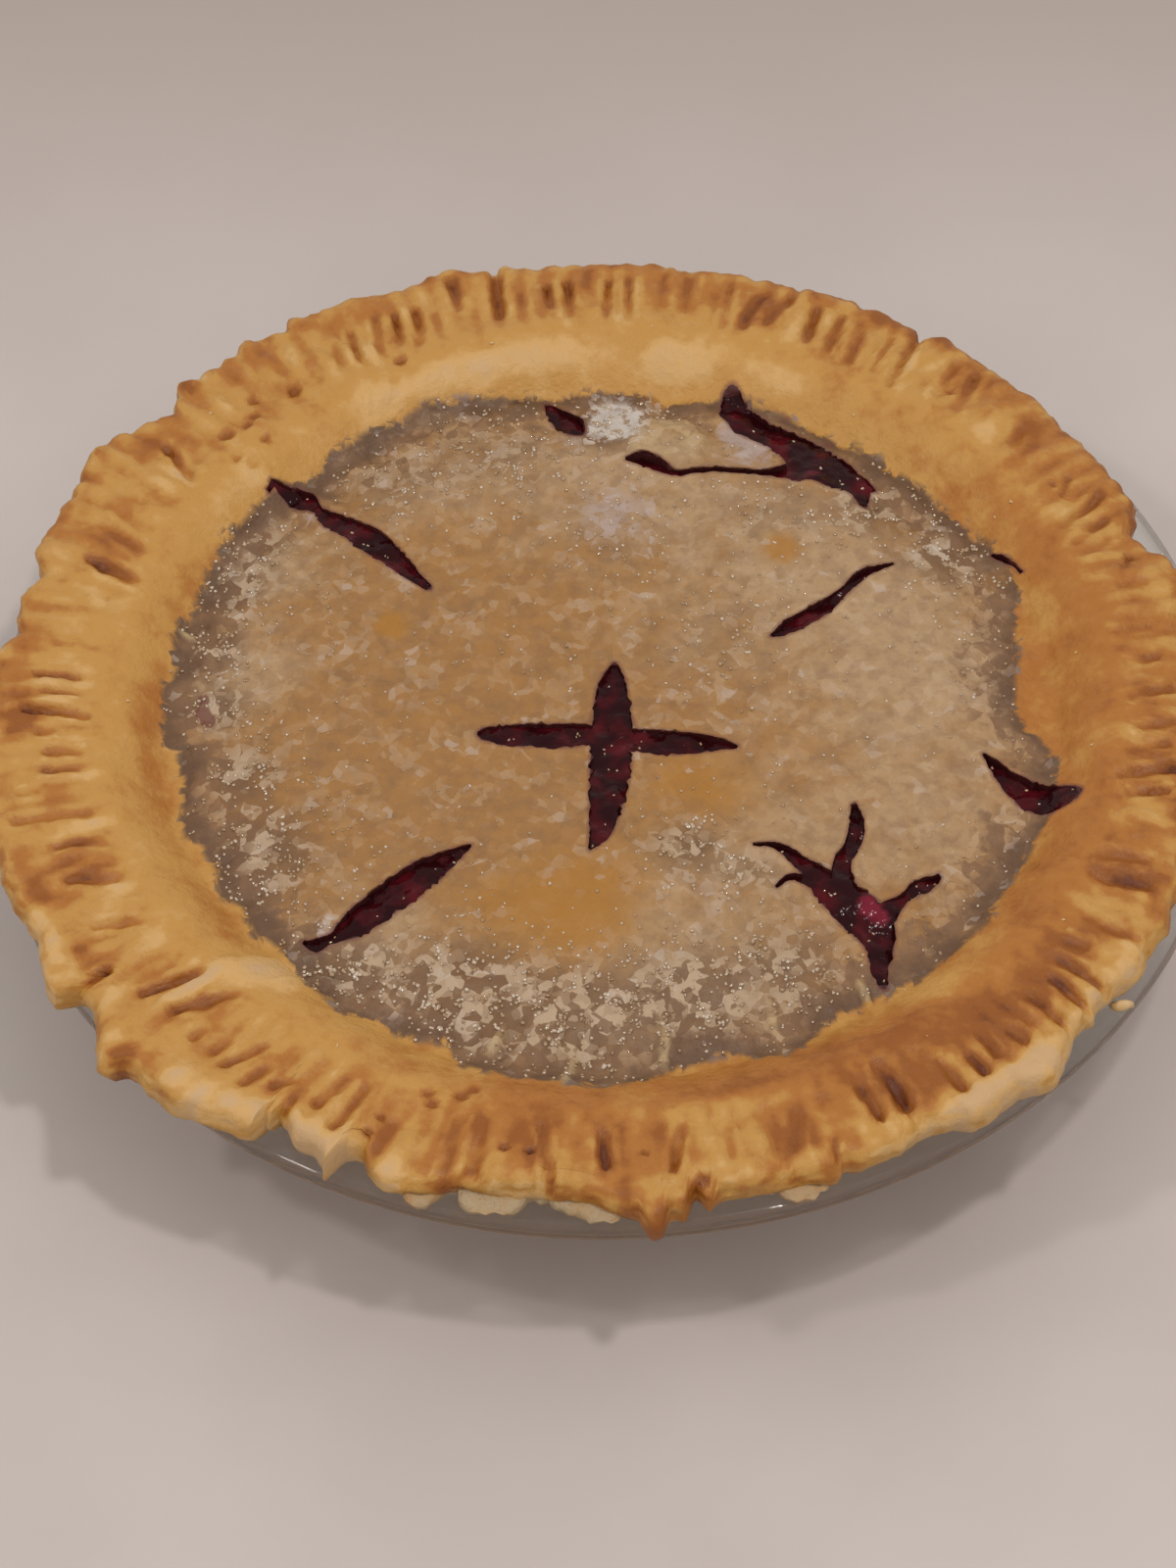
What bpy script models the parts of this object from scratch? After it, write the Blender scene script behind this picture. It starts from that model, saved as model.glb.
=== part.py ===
"""Cherry pie with a sugared double crust, baked in its clear glass pie dish.

Run with: blender --background --python part.py
The origin is the middle of the dish's foot, +Z is up, and -Y is the side that faces the eater.
Sizes at the top are in millimetres. Everything is built at real size, in metres.
"""

import math
import random

import bmesh
import bpy
from mathutils import Vector, noise

MM = 0.001

# The glass dish
DISH_RADIUS = 122.5
DISH_HEIGHT = 38.0
GLASS = 4.2
FLOOR_RADIUS = 86.0
LIP_RADIUS = 108.5
WALL_ANGLE = math.atan2(DISH_HEIGHT - GLASS, LIP_RADIUS - FLOOR_RADIUS)

# The pastry and what it holds
GAP = 0.3
LID_CLEARANCE = 0.6
BOTTOM_CRUST = 2.9
LID_THICKNESS = 3.6
LID_SEAT = DISH_HEIGHT + GAP + BOTTOM_CRUST + GAP
LEDGE_RADIUS = LIP_RADIUS + 4.0
FILLING_EDGE_DEPTH = 1.0
RIM_TOP = 46.0
VALLEY_Z = 38.6
VALLEY_RADIUS = 88.0
DOME_Z = 42.4
DOME_SHOULDER = 62.0
BANK_TOP_RADIUS = 102.0
RIM_RADIUS = 120.8
RIM_SHIFT = (-2.75, 1.0)
EDGE_ROLL = 4.5
EDGE_DROP = 2.0

# Unevenness of the pastry: the height of its bumps and how wide they are
BROAD_SWELL = (0.7, 26.0)
SMALL_SWELL = (0.45, 9.0)
RIM_SWELL = (1.1, 15.0)
RIM_WANDER = 0.9
VALLEY_WANDER = 1.6
UNDER_NIBBLE = 1.1
FOLD_HEIGHT = 0.6
FOLDS = 44.0

# Fork marks: each press of the fork leaves four grooves
PRESSES = 36
TINES = 4
TINE_PITCH = 4.35
GROOVE_WIDTH = 3.0
GROOVE_DEPTH = 1.9
GROOVE_INNER = 104.0
GROOVE_MIDDLE = 111.0
GROOVE_RUN_IN = 3.0
PRESS_TILT = 0.16
PRESS_STRAY = 0.16
PRESS_REACH = (-2.0, 2.5)
PRESS_WEIGHT = (0.55, 1.15)

# Flakes that stand out of the edge and tears that cut into it: degrees, millimetres, half width in degrees
EDGE_MARKS = [
    (8, -2.0, 1.8), (14, 1.2, 3.0), (21, -6.5, 2.0), (48, 0.8, 8.0), (66, 0.8, 6.0), (105, 2.6, 2.6),
    (118, 1.6, 9.0), (138, -3.6, 1.8), (146, 2.2, 4.0), (162, -2.4, 2.4), (168, -3.0, 1.8), (181, -1.0, 7.0),
    (201, 1.4, 9.0), (213, 2.6, 2.4), (216.5, -4.2, 1.6), (222, 4.4, 3.0), (230, 1.8, 4.0), (237, -4.8, 2.0),
    (243, 2.2, 1.6), (246.5, -1.8, 1.6), (252, 2.2, 2.2), (255.5, -2.8, 1.6), (264, -1.6, 2.4),
    (270, -1.6, 9.0), (273, 4.4, 1.4), (276.5, -3.0, 1.4), (285, 2.2, 3.0), (292, -1.6, 3.0), (306, 2.2, 6.0),
    (316, -1.6, 2.2), (329, -1.4, 2.4), (344, -2.2, 2.0), (352, 1.4, 3.0),
]
# Where the paler under-crust pokes out below the lid: degrees, millimetres, half width in degrees
UNDER_LUMPS = [
    (237, 1.6, 4.0), (244, 1.8, 1.8), (252, 2.6, 2.4), (259, 3.6, 3.2), (265, 2.4, 2.4), (285, 1.8, 2.6),
    (306, 1.0, 9.0), (60, 1.0, 6.0), (150, 1.2, 5.0), (190, 1.4, 5.0),
]

# Openings torn or cut in the lid. Each stroke is a list of (x, y, width) along its middle line, in millimetres
STROKES = {
    "cross_long": [(1.5, 10, 1.5), (0.8, 4, 6.0), (0.5, -8, 8.0), (-0.5, -21, 7.5), (-2.3, -32, 4.5),
                   (-4.5, -37, 0.8)],
    "cross_left": [(-26, -6.5, 0.8), (-22.5, -7, 5.0), (-12, -7.5, 6.4), (-4, -7.5, 5.0), (0, -8, 5.0)],
    "cross_right": [(0, -9, 5.4), (5, -9.6, 5.4), (14, -10.8, 6.2), (20.5, -11.2, 3.5), (25, -12, 0.8)],
    "back_left": [(-67, 62, 1.2), (-61, 57, 4.2), (-58, 53.6, 2.2), (-53, 49.6, 4.8), (-45.5, 42.8, 6.0),
                  (-35.5, 32, 1.6)],
    "front_left": [(-59.5, -56, 0.8), (-56, -56, 3.0), (-53, -55.8, 2.0), (-47, -51.5, 5.5), (-39, -43.5, 7.4),
                   (-32.5, -38.4, 4.4), (-27.5, -35, 0.8)],
    "back_right": [(33, 17, 1.0), (37.5, 19.6, 4.2), (44, 24.2, 3.6), (48.5, 28.5, 2.3), (53, 33.4, 2.2),
                   (58.5, 35.6, 0.8)],
    "burst_back": [(47, -27.5, 1.2), (47.4, -32, 3.0), (46.4, -37, 3.2), (44, -42, 3.6), (44, -50, 6.0)],
    "burst_left": [(27, -37.2, 0.8), (32, -37.6, 2.2), (37.5, -43, 4.2), (41.5, -48, 7.0), (45.5, -52, 9.5),
                   (49, -56, 8.0), (50.3, -61, 4.2), (49.6, -67, 2.6), (50.6, -71, 0.8)],
    "burst_thorn": [(31, -47.4, 0.8), (34, -45.2, 1.8), (38, -46.4, 2.6), (43, -49, 3.0)],
    "burst_right": [(62.5, -44.5, 1.0), (59, -46.8, 3.0), (54, -50.6, 4.2), (50, -56, 5.6), (48, -58, 4.0)],
    "crescent": [(73, -15, 0.8), (76, -18.4, 2.8), (79.4, -23.2, 5.6), (83.5, -26, 6.4), (87.4, -25, 4.6),
                 (90.6, -22.8, 1.0)],
    "back_hole": [(-10.4, 83.4, 1.0), (-8.4, 81.2, 3.6), (-5.8, 78.2, 4.8), (-4, 75.6, 1.0)],
    "back_tear": [(5, 66, 1.0), (9, 65.6, 3.0), (15.5, 61.8, 1.8), (24.5, 62.4, 1.8), (34, 61.6, 2.0),
                  (40, 62.2, 4.4), (46, 63, 6.0)],
    "back_seam": [(28, 83, 3.6), (29.4, 77.6, 5.0), (35, 73.6, 3.8), (40, 70.4, 5.0), (44, 64.6, 6.2),
                  (49, 61.6, 5.4), (53, 59.6, 5.8), (52.4, 54.6, 2.0)],
}
STROKE_STEP = 3.6
RAGGED = 0.16
CUT_BOTTOM = 26.0
CUT_TOP = 52.0
JUICE_SINK = 1.0
JUICE_STEP = 0.22
JUICE_ROOT = 3.0
JUICE_CLEARANCE = 0.35
NARROWEST_JUICE = 0.5
THINNEST_JUICE = 0.25

# How finely each piece is turned
DISH_STEPS = 72
CRUST_STEPS = 72
UNDER_STEPS = 60
FILLING_STEPS = 36
TINE_CUTS = 5
EDGE_CUTS = 3

# The rings of points on the lid's upper face, on its fork-marked band and on its underside
LID_ROWS = [32.0, 58.0, 72.0, 80.0, 88.0, 94.0, 101.0]
CRIMP_ROWS = [106.5, 111.5, 116.5]
UNDERSIDE_ROWS = [110.0, 98.0, 90.0, 76.0, 54.0]
UNDER_INSET = 1.4
EDGE_TUCK = 0.6
EDGE_LIFT = 0.4

# Stand-in heights for the lid's outline, before the relief gives its points their true ones
UPPER_FACE = 2.0
EDGE_LIP = 1.0
LOWER_FACE = 0.0

MERGE = 0.00005
SHARP_ANGLE = math.radians(40.0)
PASTRY_SEED = 11


def smooth(low, high, value):
    """0 below low, 1 above high, and an S-curve between."""
    t = min(1.0, max(0.0, (value - low) / (high - low)))
    return t * t * (3.0 - 2.0 * t)


def mark_sum(marks, degrees):
    """The height at an angle of a row of soft bumps and dips."""
    total = 0.0
    for at, amount, half_width in marks:
        away = abs((degrees - at + 180.0) % 360.0 - 180.0)
        total += amount * (1.0 - smooth(0.0, 1.6 * half_width, away))
    return total


def roughness(x, y, scale, seed=0.0):
    """Even noise from -1 to 1 whose bumps are about scale millimetres wide."""
    return noise.noise(Vector((x / scale, y / scale, seed)))


def ring_noise(theta, turns, seed):
    """Noise from -1 to 1 round the rim, with about so many bumps to each quarter of the way."""
    return noise.noise(Vector((turns * math.cos(theta), turns * math.sin(theta), seed)))


def rim_radius(theta):
    """The lid's outer radius at an angle: a hand-trimmed round, set a little off the dish's middle."""
    wander = RIM_WANDER * ring_noise(theta, 3.0, 4.0)
    shift = RIM_SHIFT[0] * math.cos(theta) + RIM_SHIFT[1] * math.sin(theta)
    return RIM_RADIUS + shift + wander + mark_sum(EDGE_MARKS, math.degrees(theta))


def fork_presses():
    """The place, tilt, start and depth of each press of the fork round the rim."""
    draw = random.Random(PASTRY_SEED)
    presses = []
    for i in range(PRESSES):
        presses.append({
            "angle": math.tau * (i + draw.uniform(-PRESS_STRAY, PRESS_STRAY)) / PRESSES,
            "tilt": draw.uniform(-PRESS_TILT, PRESS_TILT),
            "inner": GROOVE_INNER + draw.uniform(*PRESS_REACH),
            "depth": GROOVE_DEPTH * draw.uniform(*PRESS_WEIGHT),
        })
    return presses


PRESS_LIST = fork_presses()


def groove_depth(theta, radius, outer):
    """How deep the fork's grooves are at a place on the rim."""
    nearest = round(theta / math.tau * PRESSES)
    depth = 0.0
    for i in (nearest - 1, nearest, nearest + 1):
        press = PRESS_LIST[i % PRESSES]
        turn = (theta - press["angle"] + math.pi) % math.tau - math.pi
        across = turn * GROOVE_MIDDLE - press["tilt"] * (radius - GROOVE_MIDDLE)
        along = smooth(press["inner"], press["inner"] + GROOVE_RUN_IN, radius)
        along *= 1.0 - 0.5 * smooth(outer - GROOVE_RUN_IN, outer, radius)
        for tine in range(TINES):
            offset = abs(across - (tine - 0.5 * (TINES - 1)) * TINE_PITCH)
            if offset < 0.5 * GROOVE_WIDTH:
                shape = 0.5 + 0.5 * math.cos(math.tau * offset / GROOVE_WIDTH)
                depth = max(depth, press["depth"] * along * shape)
    return depth


def lid_line(radius):
    """The lid's even height at a radius, before any unevenness: dome, valley, bank and rim."""
    dome = VALLEY_Z + (DOME_Z - VALLEY_Z) * (1.0 - smooth(DOME_SHOULDER, VALLEY_RADIUS, radius))
    climb = min(1.0, max(0.0, (radius - VALLEY_RADIUS) / (BANK_TOP_RADIUS - VALLEY_RADIUS)))
    return dome + (RIM_TOP - VALLEY_Z) * math.sin(0.5 * math.pi * climb)


def lid_top(x, y):
    """The height of the baked lid's upper face over a point."""
    radius = math.hypot(x, y)
    theta = math.atan2(y, x)
    outer = rim_radius(theta)
    near_valley = smooth(60.0, 85.0, radius) * (1.0 - smooth(95.0, 104.0, radius))
    height = lid_line(radius + VALLEY_WANDER * ring_noise(theta, 2.2, 9.0) * near_valley)
    height += BROAD_SWELL[0] * roughness(x, y, BROAD_SWELL[1])
    height += SMALL_SWELL[0] * roughness(x, y, SMALL_SWELL[1], 5.0)
    height += RIM_SWELL[0] * roughness(x, y, RIM_SWELL[1], 2.0) * smooth(96.0, 106.0, radius)
    folds = smooth(76.0, 82.0, radius) * (1.0 - smooth(86.0, 91.0, radius))
    height += FOLD_HEIGHT * folds * math.sin(FOLDS * theta + 5.0 * roughness(x, y, 30.0, 3.0))
    height -= groove_depth(theta, radius, outer)
    height -= EDGE_DROP * smooth(outer - EDGE_ROLL, outer, radius) ** 2
    return height


def lid_under(radius):
    """The height of the lid's underside: it follows the dome and lies level on the under-crust at the rim."""
    loose = lid_line(radius) - LID_THICKNESS
    return loose + (LID_SEAT - loose) * smooth(VALLEY_RADIUS + 1.0, LIP_RADIUS - 4.0, radius)


def lining(offset):
    """The two corners of the dish's inside, moved inwards by offset: floor corner and lip corner."""
    lean = offset * math.tan(0.5 * WALL_ANGLE)
    return (FLOOR_RADIUS - lean, GLASS + offset), (LIP_RADIUS - lean, DISH_HEIGHT + offset)


def rounded(corners):
    """A profile through (radius, height, fillet, pieces) corners, with each fillet an arc of so many pieces."""
    line = []
    for i, (r, z, fillet, pieces) in enumerate(corners):
        here = Vector((r, z))
        if pieces == 0:
            line.append((r, z))
            continue
        before = (Vector(corners[i - 1][:2]) - here).normalized()
        after = (Vector(corners[i + 1][:2]) - here).normalized()
        half = 0.5 * before.angle(after)
        middle = here + (before + after).normalized() * fillet / math.sin(half)
        start = here + before * fillet / math.tan(half) - middle
        end = here + after * fillet / math.tan(half) - middle
        sweep = start.angle_signed(end)
        for k in range(pieces + 1):
            turn = -sweep * k / pieces
            line.append((middle.x + start.x * math.cos(turn) - start.y * math.sin(turn),
                         middle.y + start.x * math.sin(turn) + start.y * math.cos(turn)))
    return line


def turned(name, profile, steps, collection, look):
    """A body turned about Z with a Screw modifier, from an outline that starts and ends on the axis."""
    mesh = bpy.data.meshes.new(name)
    points = [(r * MM, 0.0, z * MM) for r, z in profile]
    mesh.from_pydata(points, [(i, i + 1) for i in range(len(points) - 1)], [])
    mesh.materials.append(look)
    obj = bpy.data.objects.new(name, mesh)
    collection.objects.link(obj)
    screw = obj.modifiers.new("Turn", "SCREW")
    screw.axis = "Z"
    screw.steps = steps
    screw.render_steps = steps
    screw.use_merge_vertices = True
    screw.merge_threshold = MERGE
    screw.use_smooth_shade = True
    return obj


def apply_modifiers(obj, look):
    """Makes what the modifiers give the object's own mesh."""
    bpy.context.view_layer.update()
    evaluated = obj.evaluated_get(bpy.context.evaluated_depsgraph_get())
    mesh = bpy.data.meshes.new_from_object(evaluated)
    obj.modifiers.clear()
    old = obj.data
    obj.data = mesh
    bpy.data.meshes.remove(old)
    mesh.materials.clear()
    mesh.materials.append(look)


def refine_rings(bm, inner, cuts, lowest):
    """Gives the rings outside a radius and above a height more points, by cuts in the edges between them."""
    ring_edges = []
    for edge in bm.edges:
        a, b = (vert.co / MM for vert in edge.verts)
        level = abs(a.z - b.z) < 0.01 and abs(a.xy.length - b.xy.length) < 0.01
        if level and a.xy.length > inner and a.z > lowest:
            ring_edges.append(edge)
    radii = sorted({round(vert.co.xy.length / MM, 2) for vert in bm.verts})
    bmesh.ops.subdivide_edges(bm, edges=ring_edges, cuts=cuts)
    for vert in bm.verts:
        radius = vert.co.xy.length / MM
        if radius > inner - 1.0:
            nearest = min(radii, key=lambda r: abs(r - radius))
            vert.co.xy *= nearest / radius


def spread(radius, inner, nominal, outer):
    """Stretches the ring between inner and nominal so that it reaches outer."""
    if radius <= inner:
        return radius
    return inner + (radius - inner) * (outer - inner) / (nominal - inner)


def material(name, colour, roughness_value, transmission=0.0):
    made = bpy.data.materials.new(name)
    made.use_nodes = True
    shader = made.node_tree.nodes["Principled BSDF"]
    shader.inputs["Base Color"].default_value = (*colour, 1.0)
    shader.inputs["Roughness"].default_value = roughness_value
    shader.inputs["Metallic"].default_value = 0.0
    shader.inputs["Transmission Weight"].default_value = transmission
    return made


def smooth_shaded(obj):
    obj.data.shade_smooth()
    obj.data.set_sharp_from_angle(angle=SHARP_ANGLE)


def make_dish(collection, look):
    """The clear dish: flat foot, sloping wall, level flange with a rounded edge."""
    under = DISH_HEIGHT - GLASS
    lean = GLASS * math.tan(0.5 * WALL_ANGLE)
    profile = rounded([
        (0.0, GLASS, 0.0, 0), (FLOOR_RADIUS, GLASS, 9.0, 3), (LIP_RADIUS, DISH_HEIGHT, 3.0, 1),
        (DISH_RADIUS, DISH_HEIGHT, 1.8, 1), (DISH_RADIUS, under, 1.8, 1), (LIP_RADIUS + lean, under, 4.0, 1),
        (FLOOR_RADIUS + lean, 0.0, 6.0, 2), (0.0, 0.0, 0.0, 0),
    ])
    turned("dish", profile, DISH_STEPS, collection, look)


def make_under_crust(collection, look):
    """The under-crust: it lines the dish and lies out over the flange, with a torn edge."""
    floor_out, lip_out = lining(GAP)
    floor_in, lip_in = lining(GAP + BOTTOM_CRUST)
    profile = rounded([
        (0.0, floor_in[1], 0.0, 0), (*floor_in, 6.0, 2), (*lip_in, 4.0, 1), (RIM_RADIUS, lip_in[1], 0.0, 0),
        (RIM_RADIUS, lip_out[1], 0.0, 0), (*lip_out, 2.4, 1), (*floor_out, 9.3, 3), (0.0, floor_out[1], 0.0, 0),
    ])
    crust = turned("crust_bottom", profile, UNDER_STEPS, collection, look)
    apply_modifiers(crust, look)
    bm = bmesh.new()
    bm.from_mesh(crust.data)
    refine_rings(bm, RIM_RADIUS - 1.0, EDGE_CUTS, 0.0)
    for vert in bm.verts:
        x, y, _ = vert.co / MM
        radius = math.hypot(x, y)
        if radius > LEDGE_RADIUS:
            theta = math.atan2(y, x)
            edge = rim_radius(theta) - UNDER_INSET + UNDER_NIBBLE * ring_noise(theta, 9.0, 2.0)
            edge += mark_sum(UNDER_LUMPS, math.degrees(theta))
            vert.co.xy *= spread(radius, LEDGE_RADIUS, RIM_RADIUS, edge) / radius
    bm.to_mesh(crust.data)
    bm.free()
    smooth_shaded(crust)


def stroke_outline(points, shrink, seed):
    """The ragged closed outline of a stroke: a smooth curve through its points, half its width to each side."""
    draw = random.Random(seed)
    middle = []
    for i in range(len(points) - 1):
        a, b = Vector(points[i]), Vector(points[i + 1])
        before = Vector(points[max(i - 1, 0)])
        after = Vector(points[min(i + 2, len(points) - 1)])
        pieces = max(1, round((b.xy - a.xy).length / STROKE_STEP))
        for k in range(pieces):
            t = k / pieces
            middle.append(0.5 * (2.0 * a + (b - before) * t + (2.0 * before - 5.0 * a + 4.0 * b - after) * t * t
                                 + (3.0 * a - before - 3.0 * b + after) * t ** 3))
    middle.append(Vector(points[-1]))
    last = len(middle) - 1
    halves = [[0.5 * point.z * (1.0 + draw.uniform(-RAGGED, RAGGED)) - shrink for _ in range(2)] for point in middle]
    kept = range(last + 1)
    if shrink > 0.0:
        wide = [i for i in range(1, last) if min(halves[i]) > NARROWEST_JUICE]
        kept = range(wide[0], wide[-1] + 1)
    left, right = [], []
    for i in kept:
        along = (middle[min(i + 1, last)] - middle[max(i - 1, 0)]).xy.normalized()
        across = Vector((-along.y, along.x))
        left.append(middle[i].xy + across * max(halves[i][0], THINNEST_JUICE))
        right.append(middle[i].xy - across * max(halves[i][1], THINNEST_JUICE))
    return left + right[::-1]


def stroke_body(name, outline, collection):
    """A closed upright slab on an outline, made from a flat curve, for a cut or a join."""
    curve = bpy.data.curves.new(name, "CURVE")
    curve.dimensions = "2D"
    curve.fill_mode = "BOTH"
    curve.extrude = 0.5 * (CUT_TOP - CUT_BOTTOM) * MM
    spline = curve.splines.new("POLY")
    spline.points.add(len(outline) - 1)
    spline.use_cyclic_u = True
    for point, place in zip(spline.points, outline):
        point.co = (place.x * MM, place.y * MM, 0.0, 1.0)
    flat = bpy.data.objects.new(name, curve)
    collection.objects.link(flat)
    flat.location.z = 0.5 * (CUT_TOP + CUT_BOTTOM) * MM
    bpy.context.view_layer.update()
    mesh = bpy.data.meshes.new_from_object(flat.evaluated_get(bpy.context.evaluated_depsgraph_get()))
    mesh.transform(flat.matrix_world)
    bpy.data.objects.remove(flat)
    bm = bmesh.new()
    bm.from_mesh(mesh)
    bmesh.ops.remove_doubles(bm, verts=bm.verts, dist=MERGE)
    bmesh.ops.recalc_face_normals(bm, faces=bm.faces)
    bm.to_mesh(mesh)
    bm.free()
    body = bpy.data.objects.new(name, mesh)
    body.hide_render = True
    body.display_type = "WIRE"
    collection.objects.link(body)
    return body


def combine(obj, helpers, operation, look):
    """Cuts or joins a piece with a collection of helpers, applies it, and clears the helpers away."""
    boolean = obj.modifiers.new(operation.title(), "BOOLEAN")
    boolean.operation = operation
    boolean.operand_type = "COLLECTION"
    boolean.collection = helpers
    boolean.solver = "EXACT"
    apply_modifiers(obj, look)
    for helper in list(helpers.objects):
        bpy.data.objects.remove(helper)
    bpy.data.collections.remove(helpers)


def new_collection(name):
    made = bpy.data.collections.new(name)
    bpy.context.scene.collection.children.link(made)
    return made


def make_lid(collection, look):
    """The lid with its fork-marked rim, torn edge and vents."""
    profile = [(r, UPPER_FACE) for r in [0.0] + LID_ROWS + CRIMP_ROWS + [RIM_RADIUS]]
    profile += [(RIM_RADIUS, EDGE_LIP)] + [(r, LOWER_FACE) for r in UNDERSIDE_ROWS + [0.0]]
    lid = turned("crust_top", [(r, level / MM) for r, level in profile], CRUST_STEPS, collection, look)
    apply_modifiers(lid, look)
    bm = bmesh.new()
    bm.from_mesh(lid.data)
    refine_rings(bm, CRIMP_ROWS[0] - 1.0, TINE_CUTS, 0.5 * (EDGE_LIP + LOWER_FACE) / MM)
    for vert in bm.verts:
        x, y, level = vert.co.x / MM, vert.co.y / MM, vert.co.z
        radius = math.hypot(x, y)
        if radius > BANK_TOP_RADIUS:
            outer = rim_radius(math.atan2(y, x))
            reach = outer if level > EDGE_LIP + 0.5 else outer - EDGE_TUCK
            stretch = spread(radius, BANK_TOP_RADIUS, RIM_RADIUS, reach) / radius
            x, y = x * stretch, y * stretch
        if level > EDGE_LIP + 0.5:
            height = lid_top(x, y)
        elif level > LOWER_FACE + 0.5:
            height = LID_SEAT + EDGE_LIFT
        else:
            height = lid_under(math.hypot(x, y))
        vert.co = (x * MM, y * MM, height * MM)
    bm.to_mesh(lid.data)
    bm.free()
    cutters = new_collection("vent_cutters")
    for seed, (name, points) in enumerate(STROKES.items()):
        stroke_body(name, stroke_outline(points, 0.0, seed), cutters)
    combine(lid, cutters, "DIFFERENCE", look)
    smooth_shaded(lid)


def make_filling(collection, look):
    """The cherry filling: it fills the crust under the lid and stands up into the vents."""
    floor, _ = lining(2.0 * GAP + BOTTOM_CRUST)
    edge_z = DISH_HEIGHT - FILLING_EDGE_DEPTH
    edge_r = floor[0] + (edge_z - floor[1]) / math.tan(WALL_ANGLE)
    rows = [0.0] + [r for r in reversed(UNDERSIDE_ROWS) if r < edge_r]
    profile = [(r, lid_under(r) - LID_CLEARANCE) for r in rows]
    profile += rounded([(edge_r, edge_z, 0.0, 0), (*floor, 5.7, 2), (0.0, floor[1], 0.0, 0)])
    filling = turned("filling", profile, FILLING_STEPS, collection, look)
    apply_modifiers(filling, look)
    plugs = new_collection("vent_filling")
    for seed, (name, points) in enumerate(STROKES.items()):
        plug = stroke_body(name, stroke_outline(points, JUICE_CLEARANCE, seed), plugs)
        middle = 0.5 * (CUT_TOP + CUT_BOTTOM) * MM
        step = JUICE_STEP * (seed % 4)
        for vert in plug.data.vertices:
            x, y = vert.co.x / MM, vert.co.y / MM
            if vert.co.z > middle:
                vert.co.z = (lid_top(x, y) - JUICE_SINK - step) * MM
            else:
                vert.co.z = (lid_under(math.hypot(x, y)) - JUICE_ROOT - step) * MM
    combine(filling, plugs, "UNION", look)
    smooth_shaded(filling)


def main():
    for obj in list(bpy.data.objects):
        bpy.data.objects.remove(obj)
    pie = new_collection("cherry_pie")
    make_dish(pie, material("clear_glass", (0.82, 0.86, 0.84), 0.05, transmission=0.9))
    make_under_crust(pie, material("pale_pastry", (0.62, 0.42, 0.20), 0.75))
    make_filling(pie, material("cherry_filling", (0.06, 0.004, 0.008), 0.2))
    make_lid(pie, material("golden_pastry", (0.52, 0.30, 0.11), 0.6))


main()
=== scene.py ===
"""Looks for a cherry pie baked in its clear glass dish: a sugared lid, slashed and torn open over dark
filling, inside a golden rim that was pressed down with a fork.

Sizes are in millimetres unless a name says otherwise, and everything is built at real size, in metres.
The origin is the middle of the dish's foot, +Z is up, and -Y is the side nearest the camera.
"""

import math
import random

import bpy
import numpy as np
from mathutils import Matrix, Vector, noise


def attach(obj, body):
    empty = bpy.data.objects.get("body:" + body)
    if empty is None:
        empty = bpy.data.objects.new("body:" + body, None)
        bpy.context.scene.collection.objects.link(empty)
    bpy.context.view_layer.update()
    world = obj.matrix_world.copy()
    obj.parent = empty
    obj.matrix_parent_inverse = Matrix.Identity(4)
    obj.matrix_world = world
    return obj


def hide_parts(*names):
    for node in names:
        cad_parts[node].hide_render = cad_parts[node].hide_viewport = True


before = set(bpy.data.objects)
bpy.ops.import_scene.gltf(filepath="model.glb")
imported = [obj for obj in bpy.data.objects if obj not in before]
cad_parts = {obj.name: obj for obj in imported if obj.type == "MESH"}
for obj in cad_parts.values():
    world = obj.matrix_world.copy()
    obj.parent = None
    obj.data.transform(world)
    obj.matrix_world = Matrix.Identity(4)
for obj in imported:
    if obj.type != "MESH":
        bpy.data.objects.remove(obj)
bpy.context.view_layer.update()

MM = 0.001
WELD = 0.000001

# The camera: it looks down at the pie along FORWARD, tipped a little to one side
CAMERA_PLACE = (-0.00449, -0.65084, 0.81096)
CAMERA_ELEVATION = math.radians(50.62)
CAMERA_ROLL = math.radians(-1.56)
CAMERA_LENS = 116.86
SENSOR = 36.0

# The glass dish
DISH_RADIUS = 122.5
DISH_HEIGHT = 38.0
GLASS = 4.2
FLOOR_RADIUS = 86.0
LIP_RADIUS = 108.5
WALL_ANGLE = math.atan2(DISH_HEIGHT - GLASS, LIP_RADIUS - FLOOR_RADIUS)
DISH_STEPS = 288

# The pastry
GAP = 0.3
BOTTOM_CRUST = 2.9
LID_THICKNESS = 3.6
LID_SEAT = DISH_HEIGHT + GAP + BOTTOM_CRUST + GAP
RIM_TOP = 46.0
VALLEY_Z = 38.6
VALLEY_RADIUS = 88.0
DOME_Z = 42.4
DOME_SHOULDER = 62.0
BANK_TOP_RADIUS = 102.0
RIM_RADIUS = 120.8
RIM_SHIFT = (-2.75, 1.0)
EDGE_ROLL = 3.6
EDGE_FOOT = DISH_HEIGHT + 0.5
ROLL_STEPS = 9
ROLL_ANGLE = math.radians(165.0)
FLAKE_X = 13.7
FLAKE_Y = 71.5
FLAKE_RADIUS = 8.6
LID_STEPS = 900
UNDER_STEPS = 960
RIM_STEPS = 3600
# How far apart the lid's rings lie, in millimetres, up to each radius
RING_GAPS = [(30.0, 2.4), (90.0, 1.35), (100.0, 1.1), (RIM_RADIUS, 0.8)]
UNDERSIDE_RINGS = (113.0, 104.0, 97.0, 90.0, 76.0, 54.0, 0.0)
# Edges sharper than this, in degrees, stay sharp in the shading
EDGE_SHADE = 60.0

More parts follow.
